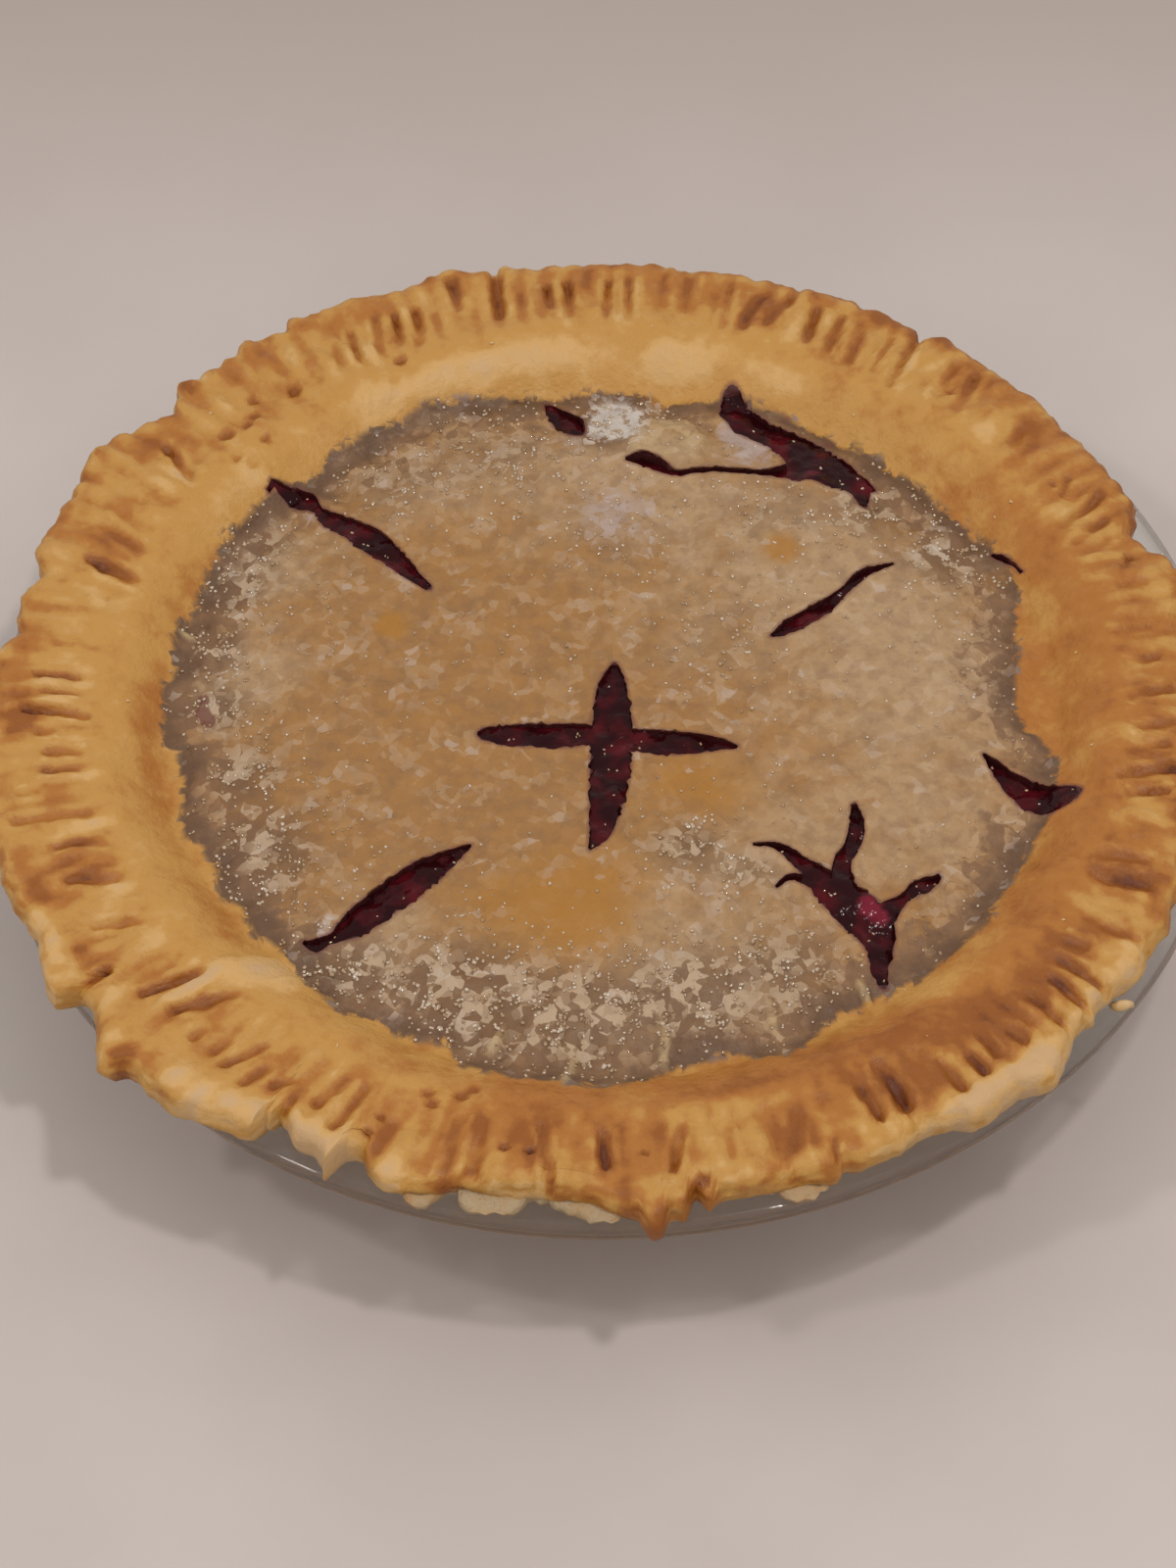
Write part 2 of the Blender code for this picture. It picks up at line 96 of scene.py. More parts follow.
# The filling
FILLING_SPAN = 190.0
FILLING_CELLS = 270
PLUG_DEPTH = 6.0
CORE_STEPS = 144
CORE_RINGS = (0.0, 20.0, 40.0, 54.0, 66.0, 76.0, 84.0, 90.0, 95.0, 99.0)

# Loose sugar and crumbs. Grains on the juice and the specks on the rim also stand in for glints, as painted
# highlights
GRAINS = 3000
WET_GRAINS_AS_GLINTS = 70
SUGAR_RADIUS = 92.0
SUGAR_SEED = 5
RIM_CRUMB_AND_GLINT_COUNT = 16
CRUMB_SEED = 8
FLANGE_CRUMB_PLACE = (95.2, -74.8, DISH_HEIGHT + 0.9)
FLANGE_CRUMB_SIZE = (4.2, 3.2, 2.4)

# The lights, in metres and watts
LAMP_AIM = (0.0, 0.0, 0.04)
KEY_PLACE = (0.30, -0.26, 1.26)
KEY_COLOUR = (1.0, 0.965, 0.92)
SECOND_PLACE = (-0.66, -0.27, 1.16)
SECOND_COLOUR = (1.0, 0.97, 0.935)
FILL_COLOUR = (1.0, 0.975, 0.95, 1.0)
FILL_STRENGTH = 0.82
FLOOR_SIZE = 6.0

# Fork marks: each press of the fork leaves four grooves
PRESSES = 36
TINES = 4
TINE_PITCH = 4.35
GROOVE_WIDTH = 3.0
GROOVE_DEPTH = 1.9
GROOVE_INNER = 104.0
GROOVE_MIDDLE = 111.0
PASTRY_SEED = 11
# The angle at which the rim is craggiest
CRAGGY_AT = 134.0

# Flakes that stand out of the edge and tears that cut into it: degrees, millimetres, half width in degrees
EDGE_MARKS = [
    (8, -2.0, 1.8), (14, 1.2, 3.0), (21, -6.5, 2.0), (48, 0.8, 8.0), (66, 0.8, 6.0), (105, 2.6, 2.6),
    (118, 1.6, 9.0), (138, -3.6, 1.8), (146, 2.2, 4.0), (162, -2.4, 2.4), (168, -3.0, 1.8),
    (181, -1.0, 7.0), (201, 1.4, 9.0), (213, 2.6, 2.4), (216.5, -4.2, 1.6), (222, 4.4, 3.0),
    (230, 1.8, 4.0), (237, -4.8, 2.0), (243, 2.2, 1.6), (246.5, -1.8, 1.6), (252, 2.2, 2.2),
    (255.5, -2.8, 1.6), (264, -1.6, 2.4), (270, -1.6, 9.0), (273, 4.4, 1.4), (276.5, -3.0, 1.4),
    (285, 2.2, 3.0), (292, -1.6, 3.0), (306, 2.2, 6.0), (316, -1.6, 2.2), (329, -1.4, 2.4),
    (344, -2.2, 2.0), (352, 1.4, 3.0),
]
# Where the paler under-crust pokes out below the lid: degrees, millimetres, half width in degrees
UNDER_LUMPS = [
    (237, 3.0, 4.0), (244, 3.2, 1.8), (252, 4.0, 2.4), (259, 5.0, 3.2), (265, 3.8, 2.4), (285, 3.2, 2.6),
    (306, 2.4, 9.0), (60, 2.4, 6.0), (150, 2.6, 5.0), (190, 2.8, 5.0),
]

# Openings torn or cut in the lid. Each stroke is a list of (x, y, width) along its middle line
STROKES = {
    "cross_long": [(1.5, 10, 1.5), (0.8, 4, 6.0), (0.5, -8, 8.0), (-0.5, -21, 7.5), (-2.3, -32, 4.5),
                   (-4.5, -37, 0.8)],
    "cross_left": [(-26, -6.5, 0.8), (-22.5, -7, 5.0), (-12, -7.5, 6.4), (-4, -7.5, 5.0), (0, -8, 5.0)],
    "cross_right": [(0, -9, 5.4), (5, -9.6, 5.4), (14, -10.8, 6.2), (20.5, -11.2, 3.5), (25, -12, 0.8)],
    "back_left": [(-67.8, 62.6, 1.0), (-64.4, 61.0, 3.4), (-61.6, 60.0, 5.4), (-59.2, 58.0, 2.8),
                  (-57.8, 56.2, 2.4), (-55.4, 53.0, 4.6), (-51.4, 49.4, 5.2), (-45.5, 43.2, 6.0),
                  (-35.5, 32, 1.6)],
    "front_left": [(-59.8, -55.2, 1.0), (-57.2, -56, 3.0), (-54, -55.2, 2.6), (-50.8, -53, 5.6),
                   (-47.4, -50.8, 7.2), (-39, -43.5, 7.4), (-32.5, -38.4, 4.4), (-27.5, -35, 0.8)],
    "back_right": [(33, 17, 1.0), (37.5, 19.6, 4.2), (44, 24.2, 3.6), (48.5, 28.5, 2.3), (53, 33.4, 2.2),
                   (58.5, 35.6, 0.8)],
    "burst_back": [(47, -27.5, 1.2), (47.4, -32, 3.0), (46.4, -37, 3.2), (44, -42, 3.6), (44, -50, 6.0)],
    "burst_left": [(27, -37.2, 0.8), (32, -37.6, 2.2), (37.5, -43, 4.2), (41.5, -48, 7.0),
                   (45.5, -52, 9.5), (49, -56, 8.6), (50.3, -61, 5.4), (49.8, -65.6, 3.4),
                   (50.4, -69.4, 2.0)],
    "burst_thorn": [(31, -47.4, 0.8), (34, -45.2, 1.8), (38, -46.4, 2.6), (43, -49, 3.0)],
    "burst_right": [(62.8, -43.6, 1.0), (59.6, -46.2, 3.6), (56, -49.2, 2.2), (52.6, -52.2, 4.4),
                    (49, -56, 6.4)],
    "crescent": [(73.2, -14.6, 0.8), (75.2, -16.8, 2.7), (77.6, -20.2, 4.8), (81.5, -23.6, 6.6),
                 (85.8, -25.4, 7.2), (88.8, -25.8, 5.2), (90.6, -25.6, 2.0)],
    "back_hole": [(-10.8, 85.4, 1.8), (-9.2, 82.6, 4.0), (-7, 79.4, 6.2), (-5, 76.2, 4.4),
                  (-4.2, 74.4, 1.0)],
    "back_tear": [(5, 66, 1.0), (9, 65.6, 3.4), (15.5, 61.8, 1.8), (24.5, 62.4, 1.8), (34, 61.6, 2.6),
                  (40, 62.4, 5.6), (46, 63, 7.0)],
    "back_seam": [(27.6, 85.6, 3.6), (28.8, 80.4, 6.8), (34, 75, 6.6), (39.6, 70.6, 8.0),
                  (43.6, 65.8, 10.4), (48.6, 61.6, 8.6), (52.6, 57.6, 5.2), (53.4, 52.4, 1.6)],
    "back_tail": [(49.5, 61.5, 5.4), (53.4, 59.0, 4.4), (55.8, 57.2, 1.4)],
    "right_crack": [(78.7, 39.6, 0.8), (80.0, 38.6, 1.5), (82.4, 36.4, 0.9), (84.4, 33.4, 0.5)],
    "left_curl": [(-68.6, 60.4, 1.0), (-67.3, 62.4, 1.3), (-65.2, 62.2, 1.0)],
}
STROKE_STEP = 0.8
CUT_BOTTOM = 26.0
CUT_TOP = 54.0

# The finer edge of the baked lid: more of its flakes and tears, in the same three numbers
EDGE_DETAILS = [
    (18, -2.6, 1.0), (21.5, 3.4, 1.3), (52.5, 1.0, 0.9), (55, -1.4, 0.8), (60, 1.6, 1.1), (70, -1.2, 3.0),
    (81, -1.4, 3.0), (104.5, 0.6, 1.0), (121, 1.0, 0.7), (122.3, -1.2, 0.6), (126.5, 1.5, 1.4),
    (134.4, 2.2, 0.9), (141, -1.6, 1.5), (162, -2.0, 1.3), (165, -1.6, 1.5), (170, -3.0, 1.2),
    (211, 2.0, 1.8), (214, 1.6, 0.9), (219, 3.4, 1.6), (222.4, 1.4, 1.0), (226.5, 3.2, 2.3),
    (230.5, 2.2, 2.4), (235, 1.8, 1.2), (240, -1.0, 0.5), (245.4, -2.0, 0.5), (248.5, 1.6, 1.4),
    (257, -1.2, 0.7), (263, -1.0, 0.8), (267, 2.4, 1.6), (270, 3.0, 1.5), (274.3, 3.4, 0.8),
    (276.1, -4.6, 0.45), (277, 2.4, 0.5), (286.5, 2.2, 1.7), (291.5, 3.2, 2.4), (302.5, 1.8, 2.2),
    (310, 2.6, 2.0), (313.5, -0.8, 0.8), (317, 3.2, 2.2), (323, 3.0, 2.2), (328, 3.2, 3.0),
    (334, 2.0, 3.0),
]

# The front of the torn edge as the camera sees it, against the height of the rim: (degrees, radius).
# First the lid's own flakes and drips, then the paler flakes of the under-crust that show below it
LID_FRONT = [
    (206, 124.4), (208, 125.4), (211, 127.4), (213.6, 129.4), (214.6, 129.2), (214.9, 124.8),
    (217.4, 124.4), (218.2, 125.6), (219.6, 127.2), (221, 129.8), (222.2, 131.8), (223.4, 131.2),
    (224, 129), (225.4, 128.4), (226.6, 129.1), (228.4, 128.8), (229.6, 129.3), (231.4, 128),
    (232.8, 127.1), (234.2, 126.4), (236.1, 126.3), (236.8, 125.4), (237, 121.8), (237.7, 121.9),
    (238, 119.4), (239.2, 120.6), (240.6, 123), (242.4, 123.3), (243.6, 124.4), (244.2, 126.9),
    (244.6, 124), (245, 121.4), (245.8, 120.4), (246.6, 120.8), (247.4, 122.9), (248.6, 124.9),
    (250.2, 125.2), (251.2, 124.5), (253, 123.8), (254.2, 122.8), (255.8, 121.4), (258, 121.7),
    (260.8, 121.8), (262.2, 120.6), (264.6, 121.3), (267.2, 121.8), (268.6, 123.4), (270.6, 125.2),
    (271.3, 126), (271.8, 128.8), (272.4, 130.2), (273.1, 129.4), (273.7, 126.2), (274.4, 126),
    (275, 126.8), (275.5, 124.4), (276, 121.6), (276.5, 121.6), (276.9, 123.6), (277.5, 124.4),
    (278, 123.6), (278.6, 122.9), (280.4, 122.9), (283.4, 123.3), (286, 123.5), (287.6, 124.8),
    (288.6, 124.5), (289.2, 122.7), (290.4, 123.7), (292.4, 123.9), (294.6, 123.3), (296.4, 122.1),
    (298.2, 122.5), (300.2, 123.8), (301.3, 125.9), (303.2, 125.9), (305.4, 125.4), (306.8, 124.9),
    (308.2, 126.5), (309.4, 127.5), (310.8, 125.9), (312.4, 123.8), (314.6, 122), (316.6, 122.3),
    (318.2, 121.2), (320.2, 121.6), (322.4, 123.1), (324, 123.1), (325.4, 121.8), (327.4, 121.6),
    (329.4, 122.7), (331.5, 122.1), (334, 121),
]
UNDER_FRONT = [
    (206, 119), (236, 120), (239, 119), (246, 119.4), (250.7, 122), (251.2, 126.7), (252.2, 128.3),
    (253.4, 127.9), (254.2, 125.3), (254.8, 123.3), (255.6, 122.4), (256, 125.7), (257.2, 127.5),
    (258.6, 126.7), (260.2, 126.5), (261.2, 125.3), (261.8, 122.7), (263.4, 122.7), (265, 124.5),
    (267, 126.3), (268.8, 127.3), (269.8, 126.1), (270.4, 122.6), (275, 122), (282.8, 122.6),
    (283.4, 126.3), (284.4, 127.7), (286.2, 127.3), (287.4, 126.3), (288.2, 123.5), (289.6, 121),
    (300, 119), (316, 119.4), (334, 119),
]
FRONT_FROM = 206.0
FRONT_TO = 334.0
LID_EDGE_LEVEL = 42.3
UNDER_EDGE_LEVEL = 39.8
SIGHT_SLOPE = 0.82

# Fork marks: outer end and inner end, each as degrees and radius, then width and depth
FORK_MARKS = [
    (3.5, 109, 2.6, 103, 2.6, 0.7), (7.6, 109, 7.2, 101, 2.2, 0.6), (17.2, 110.6, 16.2, 109, 3.4, 1.6),
    (20.4, 110, 19, 102, 2.4, 0.9), (23, 110.4, 21.2, 102, 2.8, 1.5), (26.2, 113, 24.2, 102, 3.2, 1.8),
    (29.6, 109.4, 28.2, 106, 2.4, 1.4), (38.4, 110, 37.2, 106, 3.0, 0.7), (47, 115, 45.4, 105, 3.2, 1.3),
    (49.8, 115, 48.4, 104, 2.8, 0.9), (54.9, 115, 53.9, 102, 2.6, 1.8), (57.2, 114, 56.6, 103, 1.8, 0.9),
    (61, 115, 59.8, 103.5, 3.2, 1.3), (63.3, 114.5, 62.9, 105, 2.6, 1.5),
    (66.1, 115, 65.5, 105, 2.8, 2.2), (69.2, 116, 70.4, 107, 2.6, 1.2), (72.2, 115, 73.2, 105, 3.6, 1.7),
    (75.9, 117, 75.3, 104, 2.4, 1.1), (80, 116, 80.2, 108, 3.4, 1.1), (82.8, 116, 82.6, 108, 3.0, 0.9),
    (86.4, 115, 86.4, 104, 2.4, 1.4), (88.7, 115, 88.9, 105, 2.3, 1.5), (93.1, 115, 93.2, 105, 2.8, 2.0),
    (95.2, 114.4, 95.3, 108.4, 2.7, 1.7), (98.1, 113, 98.1, 108.6, 2.4, 0.8),
    (100.2, 118, 101, 107.5, 3.6, 2.4), (104.7, 120, 105, 112, 3.2, 1.9),
    (107.8, 112, 108.4, 105, 2.5, 0.9), (109.6, 114, 110.6, 105, 2.7, 1.8),
    (111.7, 114.6, 112.8, 107, 2.6, 2.0), (113.7, 116, 115.4, 106, 2.6, 1.2),
    (117, 114, 118.1, 106, 2.4, 1.6), (119.4, 112, 120, 107, 2.2, 0.7),
    (142.1, 113, 143.9, 103.5, 2.8, 1.9), (154, 113, 156, 103, 3.6, 0.9),
    (158.9, 111, 160.4, 100.5, 3.6, 2.2), (171.1, 111, 171.4, 108, 2.6, 0.8),
    (175.2, 113.5, 175.1, 105.5, 2.0, 1.9), (177.5, 112, 177.7, 106, 1.8, 0.9),
    (179.6, 115, 180.9, 103, 3.0, 2.1), (183, 112.4, 183, 109.8, 2.6, 1.4),
    (185.7, 111, 186.5, 104.5, 2.5, 1.3), (188, 112, 188.6, 105.5, 2.5, 1.5),
    (190.5, 117, 190.7, 113.5, 2.6, 0.9), (193.7, 119, 194.7, 105, 2.8, 1.3),
    (197.7, 113, 199, 104, 2.8, 1.0), (202.4, 113, 204.2, 104.5, 3.6, 1.8),
    (208.6, 113, 210.6, 105.5, 3.0, 1.2), (214.2, 120.4, 213.8, 115.8, 2.2, 1.8),
    (218.4, 114, 219.9, 102.5, 3.0, 2.4), (222, 112, 224.6, 102, 3.6, 1.8),
    (225.6, 113.6, 225.5, 112, 2.8, 1.6), (228, 113.6, 228.3, 110.4, 2.8, 1.5),
    (230.1, 114.4, 231.5, 106.5, 2.8, 1.7), (232.8, 115.8, 233.6, 111, 3.0, 1.6),
    (235.4, 113, 236.6, 110.4, 2.8, 1.2), (237.8, 115.8, 237.6, 113.6, 3.0, 1.9),
    (240, 112.4, 240.9, 105, 3.3, 1.6), (242.7, 116, 243.3, 105, 2.9, 2.0),
    (247.2, 117, 247.4, 110.5, 4.2, 1.5), (253.8, 118, 253.8, 106, 2.6, 1.0),
    (256.3, 116.5, 255.9, 106, 3.4, 1.6), (263.4, 117, 262, 104.5, 2.7, 1.7),
    (268.4, 113, 268.2, 106, 2.8, 1.9), (274.6, 115, 275.9, 106, 2.6, 1.6),
    (280.2, 114, 280.4, 107, 2.2, 0.6), (286, 115, 287.4, 108, 3.4, 1.0),
    (289.1, 119, 289.6, 116, 2.2, 1.2), (294.8, 114.4, 294.5, 107, 2.9, 2.1),
    (297.4, 114.4, 297.9, 104, 4.0, 2.2), (302.9, 116.6, 303, 109.5, 3.2, 2.3),
    (305.6, 116.4, 305.7, 111.6, 2.8, 2.1), (307.7, 114.6, 308.5, 108, 2.6, 1.2),
    (311, 115, 310.7, 112.6, 3.6, 1.7), (315, 117, 315, 109.5, 3.4, 2.4),
    (317.9, 117, 318.3, 110, 3.2, 2.4), (320.6, 116.6, 320.6, 108.5, 3.0, 2.1),
    (323.4, 110.6, 322.9, 106.8, 3.4, 1.3), (326.8, 117, 326.4, 111, 2.8, 0.8),
    (333.2, 114, 332.2, 104, 3.8, 1.6), (336, 112, 335, 103, 3.0, 1.2),
    (345.5, 111.4, 344, 104.6, 2.5, 1.7), (348.6, 112, 346.4, 102, 3.2, 1.8),
    (351.4, 110, 350.2, 104, 2.4, 0.9), (354.2, 111, 353, 104, 2.4, 0.8),
    (358.9, 111, 357.6, 103, 2.8, 1.2),
]
# Small pits where the pastry broke or blistered: degrees, radius, size and depth
PITS = [
    (113.9, 102, 1.9, 1.2), (115.8, 97.5, 1.9, 0.5), (126.3, 107, 2.0, 1.4), (130.8, 110, 1.7, 1.0),
    (132.4, 105.8, 1.7, 1.3), (133.9, 105, 1.5, 1.1), (133.8, 99.6, 1.5, 1.0), (136.5, 106.2, 2.4, 1.5),
    (138.4, 100, 1.7, 1.0), (137.6, 96.8, 2.0, 0.9), (214, 116.4, 1.5, 1.4), (245.8, 114, 1.3, 1.4),
    (246.1, 110, 1.2, 1.2), (250.4, 104, 1.7, 1.2), (249.5, 102, 1.6, 1.0), (252.9, 100.6, 1.9, 1.3),
    (253.9, 98.4, 1.6, 1.2), (258.7, 111, 1.3, 1.3), (261.2, 111, 1.3, 1.3), (272.1, 111, 1.2, 0.9),
    (277.2, 118, 2.0, 1.5), (163.8, 104, 0.9, 0.5), (47.6, 108, 1.3, 0.9), (30, 106, 1.2, 0.6),
]
# How the oven coloured the rim: degrees, radius, half width along it, half width across it, and amount.
# More than 0 is browner and less than 0 is paler
BROWNING = [
    (186, 90.5, 26, 4, 0.4), (214, 90.5, 12, 4, 0.3), (158, 90.5, 14, 4, 0.25), (340, 91, 20, 4, 0.2),
    (3, 97, 16, 6, 0.25), (22, 115, 5, 3, 0.35), (25, 96, 13, 4, 0.25), (37, 112, 6, 6, 0.2),
    (48, 113, 4, 5, 0.45), (58, 118, 7, 2.4, 0.4), (61, 108, 4, 6, 0.25), (65.8, 111, 1.8, 5, 0.4),
    (71.5, 110, 4.5, 6, 0.55), (81, 112, 7, 5, 0.35), (88, 117, 10, 4, 0.22), (101, 113, 2.2, 6, 0.45),
    (105, 117, 2.4, 4, 0.4), (115, 118, 10, 3.4, 0.32), (120.6, 121, 2.4, 2, 0.4), (128, 118, 7, 4, 0.26),
    (134.4, 122, 2.4, 2.8, 0.8), (143, 116.5, 5, 3, 0.45), (150.5, 121, 5, 2.4, 0.2),
    (156, 107, 8, 5, 0.42), (159.6, 105, 2.4, 5, 0.4), (176, 118, 6, 4, 0.35), (181, 116.5, 5, 4, 0.65),
    (194, 113, 3, 6, 0.2), (200.5, 109, 6, 6, 0.5), (202.3, 119.5, 3.4, 2.4, 0.6),
    (210.8, 118.5, 2.2, 2, 0.6), (219.4, 107, 1.8, 5, 0.5), (224.6, 105, 5, 5, 0.5),
    (222.6, 126, 2.6, 3, 1.1), (236.5, 112.5, 5, 3, 0.4), (247.3, 113.5, 2.8, 4.5, 0.35),
    (254.8, 121, 3, 1.9, 1.3), (254, 111, 3, 7, 0.35), (258, 104, 10, 8, 0.3), (264, 98, 12, 6, 0.35),
    (269, 110, 3, 7, 0.35), (271, 120, 3.4, 4, 0.35), (272.6, 127.4, 2.6, 3, 0.8),
    (280, 123.5, 9, 1.2, 0.35), (285.5, 122.5, 5, 1.4, 0.75), (287, 112, 4, 6, 0.3),
    (285, 96, 16, 6, 0.3), (296, 101, 14, 8, 0.35), (299, 111, 6, 6, 0.4), (304, 100, 11, 5, 0.35),
    (310, 109, 12, 7, 0.35), (318, 104, 14, 9, 0.32), (324, 110, 5, 4, 0.25), (333.5, 109, 5.5, 8, 0.4),
    (329, 97, 12, 6, 0.35), (345, 100, 12, 6, 0.25), (12, 114, 8, 2.8, -0.45), (6, 106, 3, 4, -0.2),
    (18.3, 104, 1.8, 4, -0.35), (21.6, 104.5, 1.4, 4, -0.35), (24.2, 106, 1.3, 3.4, -0.3),
    (26.8, 103, 1.3, 4, -0.35), (41.2, 108, 5, 7.5, -0.5), (52.3, 111.5, 4.5, 4.5, -0.5),
    (52, 105, 7, 5, -0.2), (56.2, 110, 1.3, 6, -0.25), (58.6, 110, 1.6, 6, -0.35),
    (62.1, 113, 1.4, 4, -0.25), (64.6, 113, 1.2, 4, -0.2), (68, 111, 1.7, 5, -0.3),
    (66, 94.5, 9, 3.2, -0.25), (74, 97, 9, 4, -0.25), (80.5, 94, 8.5, 4.4, -0.6),
    (97, 95.5, 14, 4, -0.45), (107, 95, 14, 3.4, -0.42), (118, 96, 12, 4, -0.32),
    (116.6, 106.5, 1.8, 4, -0.45), (118.8, 109, 1.6, 4, -0.4), (121.5, 109.5, 3.4, 5, -0.35),
    (123.9, 115, 1.9, 4, -0.45), (133, 112.5, 4.2, 4.6, -0.45), (136.6, 113, 3.2, 5.4, -0.45),
    (141, 96, 12, 4, -0.35), (145.3, 107, 3.2, 5.5, -0.4), (147.5, 116, 7, 5, -0.22),
    (160.5, 118, 7, 3.4, -0.25), (166, 108, 13, 8, -0.25), (176.4, 110, 1.6, 5, -0.4),
    (178.6, 108, 1.2, 5, -0.35), (181.8, 107, 1.5, 5, -0.3), (184.3, 108, 1.3, 5, -0.3),
    (186.8, 108, 1.1, 5, -0.25), (189.3, 108, 1.5, 6, -0.35), (188, 116, 12, 3, -0.25),
    (196.4, 107, 2, 7, -0.3), (206, 109, 3.6, 7, -0.55), (208.3, 106.5, 2.2, 6, -0.45),
    (209, 122, 12, 2.2, -0.4), (212.8, 108, 3.2, 5.5, -0.35), (217, 120, 4.2, 3.6, -0.55),
    (221, 108, 1.8, 7, -0.8), (222.4, 99, 5, 6, -0.65), (224.5, 91, 7, 4.5, -0.6),
    (228, 121, 8, 4.5, -0.35), (229.3, 106, 1.4, 5, -0.3), (231.4, 104, 1.6, 3.5, -0.35),
    (235, 120, 7, 3, -0.4), (236.8, 105.5, 2.4, 4.5, -0.5), (241.5, 120, 7, 5, -0.65),
    (245, 118, 4, 4, -0.4), (249.7, 115, 3.4, 6, -0.4), (258.6, 117, 2.4, 6, -0.3),
    (262, 120, 4, 2.6, -0.45), (266, 116, 1.8, 4, -0.35), (272.6, 119, 4, 3, -0.5),
    (278, 112, 6, 7, -0.35), (279.3, 117, 2.2, 7, -0.35), (282.4, 112, 3.2, 4.4, -0.55),
    (287, 118, 2.8, 2.4, -0.4), (282, 103, 13, 3, -0.3), (292, 109, 5, 6, -0.2),
    (295.5, 121.5, 9, 2.6, -0.55), (305, 121, 13, 3.6, -0.75), (313, 121, 10, 3.4, -0.6),
    (321, 120, 10, 2.8, -0.55), (329, 119.5, 9, 2.8, -0.35), (303.9, 109, 1.6, 2.6, -0.3),
    (306.8, 110.5, 1.5, 3.2, -0.35), (308, 93, 7, 6, -0.2), (319.3, 112, 1.3, 4, -0.35),
    (323.8, 113, 3.2, 3.4, -0.35), (328.5, 109, 2.6, 7, -0.5), (331, 110, 2.2, 6.5, -0.4),
    (341.5, 107.5, 3, 6, -0.35), (346.9, 108, 1.4, 5, -0.3), (352.5, 103, 1.8, 2.2, -0.5),
    (356.2, 108, 2.2, 6, -0.3),
]

# Where the torn edge stayed pale: degrees, amount, half width in degrees
PALE_FRONT = [
    (210, 0.5, 5), (232, 0.5, 7), (242, 0.85, 4), (250, 0.4, 3), (260, 0.6, 4), (282, 0.35, 4),
    (296, 0.5, 6), (308, 0.6, 7), (320, 0.5, 7), (60, -0.2, 20), (190, 0.3, 8),
]

# Where the sugared middle stops at the foot of the bank: (degrees, radius)
SUGAR_BORDER = [
    (0, 80.5), (5, 81.5), (10, 83.5), (15, 85.5), (18, 87.5), (21, 90), (25, 90.4), (30, 89), (35, 88),
    (40, 88.6), (45, 87.4), (50, 88.6), (55, 88), (60, 88), (65, 89), (72, 90), (76, 87), (80, 86),
    (84, 88), (90, 88.6), (95, 88), (100, 88.6), (105, 90), (110, 90.6), (115, 91.2), (120, 90.6),
    (126, 90.6), (130, 90), (133, 88.6), (136, 91), (141, 91), (147, 91.6), (152, 90), (155, 89.4),
    (160, 89), (165, 90), (170, 89), (180, 89), (183.2, 88.6), (184, 85), (190, 85.4), (195, 87),
    (199, 88), (200.4, 85.4), (205, 85), (207, 86), (210, 87), (212, 85), (217, 87), (222, 86), (225, 86),
    (228, 88), (232, 88), (234, 90), (237, 87), (245, 87), (248, 86), (251, 91), (255, 91), (258, 93),
    (262, 92), (268, 93), (272, 91), (275, 90), (278, 87), (282, 86), (285, 87), (288, 90), (290, 92),
    (293, 90), (296, 87), (300, 86.4), (304, 88), (307, 87), (309, 89), (312, 90), (318, 90), (322, 91),
    (325, 89), (328, 88), (335, 88.6), (340, 90), (348, 90), (352, 88), (355, 83), (358, 81), (360, 80.5),
]
SUGAR_BORDER_LINE = ([p[0] for p in SUGAR_BORDER], [p[1] for p in SUGAR_BORDER])

# Places on the sugared middle: (x, y, radius, strength)
GOLD_PATCHES = [
    (-11, -51, 15, 1.1), (-2, -44, 13, 0.6), (-25, -48, 9, 0.5), (14.6, -20, 11, 1.0), (23, -26, 9, 0.5),
    (-33, 43, 13, 0.5), (-43.4, 22.4, 3.4, 2.4), (36, 40.7, 4.6, 1.7), (13.2, 86.4, 2.6, 2.2),
    (-34, -6, 28, 0.25), (-12, 24, 20, 0.2), (40, -12, 10, 0.3), (80, 34, 5, 0.5), (-4, -58, 9, 0.4),
]
SUGAR_PATCHES = [
    (-75, 36, 9, 0.9), (-78, 20, 8, 1.0), (-77, 4, 7, 0.9), (-70, 48, 9, 0.6), (-72, -14, 9, 0.8),
    (-68, -34, 14, 0.9), (-52, -62, 12, 0.8), (-30, -70, 16, 1.0), (-8, -76, 15, 1.0), (14, -72, 14, 0.9),
    (34, -66, 13, 0.7), (14, -36, 9, 0.8), (26, -44, 9, 0.5), (70, 38, 11, 0.9), (56, 52, 10, 0.7),
    (36, 50, 14, 0.45), (1.6, 77, 7, 1.7), (-20, 70, 16, 0.5), (-44, 62, 14, 0.5), (76, 6, 12, 0.25),
    (24, 18, 16, 0.4), (0, 46, 16, 0.3),
]
# Where juice dried to a brown stain
STAIN_PATCHES = [
    (-80.6, 3.2, 1.9, 1.1), (-79.4, 0.6, 1.7, 1.1), (-80.6, 6.2, 1.5, 1.0), (-6.4, 74.6, 2.0, 0.5),
    (38, 79.4, 3.4, 0.5), (47, 72, 3.4, 0.5), (31, 84.6, 2.4, 0.5),
]
# Where the sugar dried to a paler, greyer crust
HAZE_PATCHES = [
    (62, 8, 36, 0.8), (40, 40, 26, 0.6), (4, 62, 30, 0.7), (-36, 64, 22, 0.5), (10, -68, 36, 0.7),
    (-46, -58, 18, 0.6), (-74, 12, 16, 0.8), (-68, 42, 14, 0.8), (30, -34, 18, 0.4), (60, -34, 20, 0.5),
    (14, 16, 14, 0.3),
]
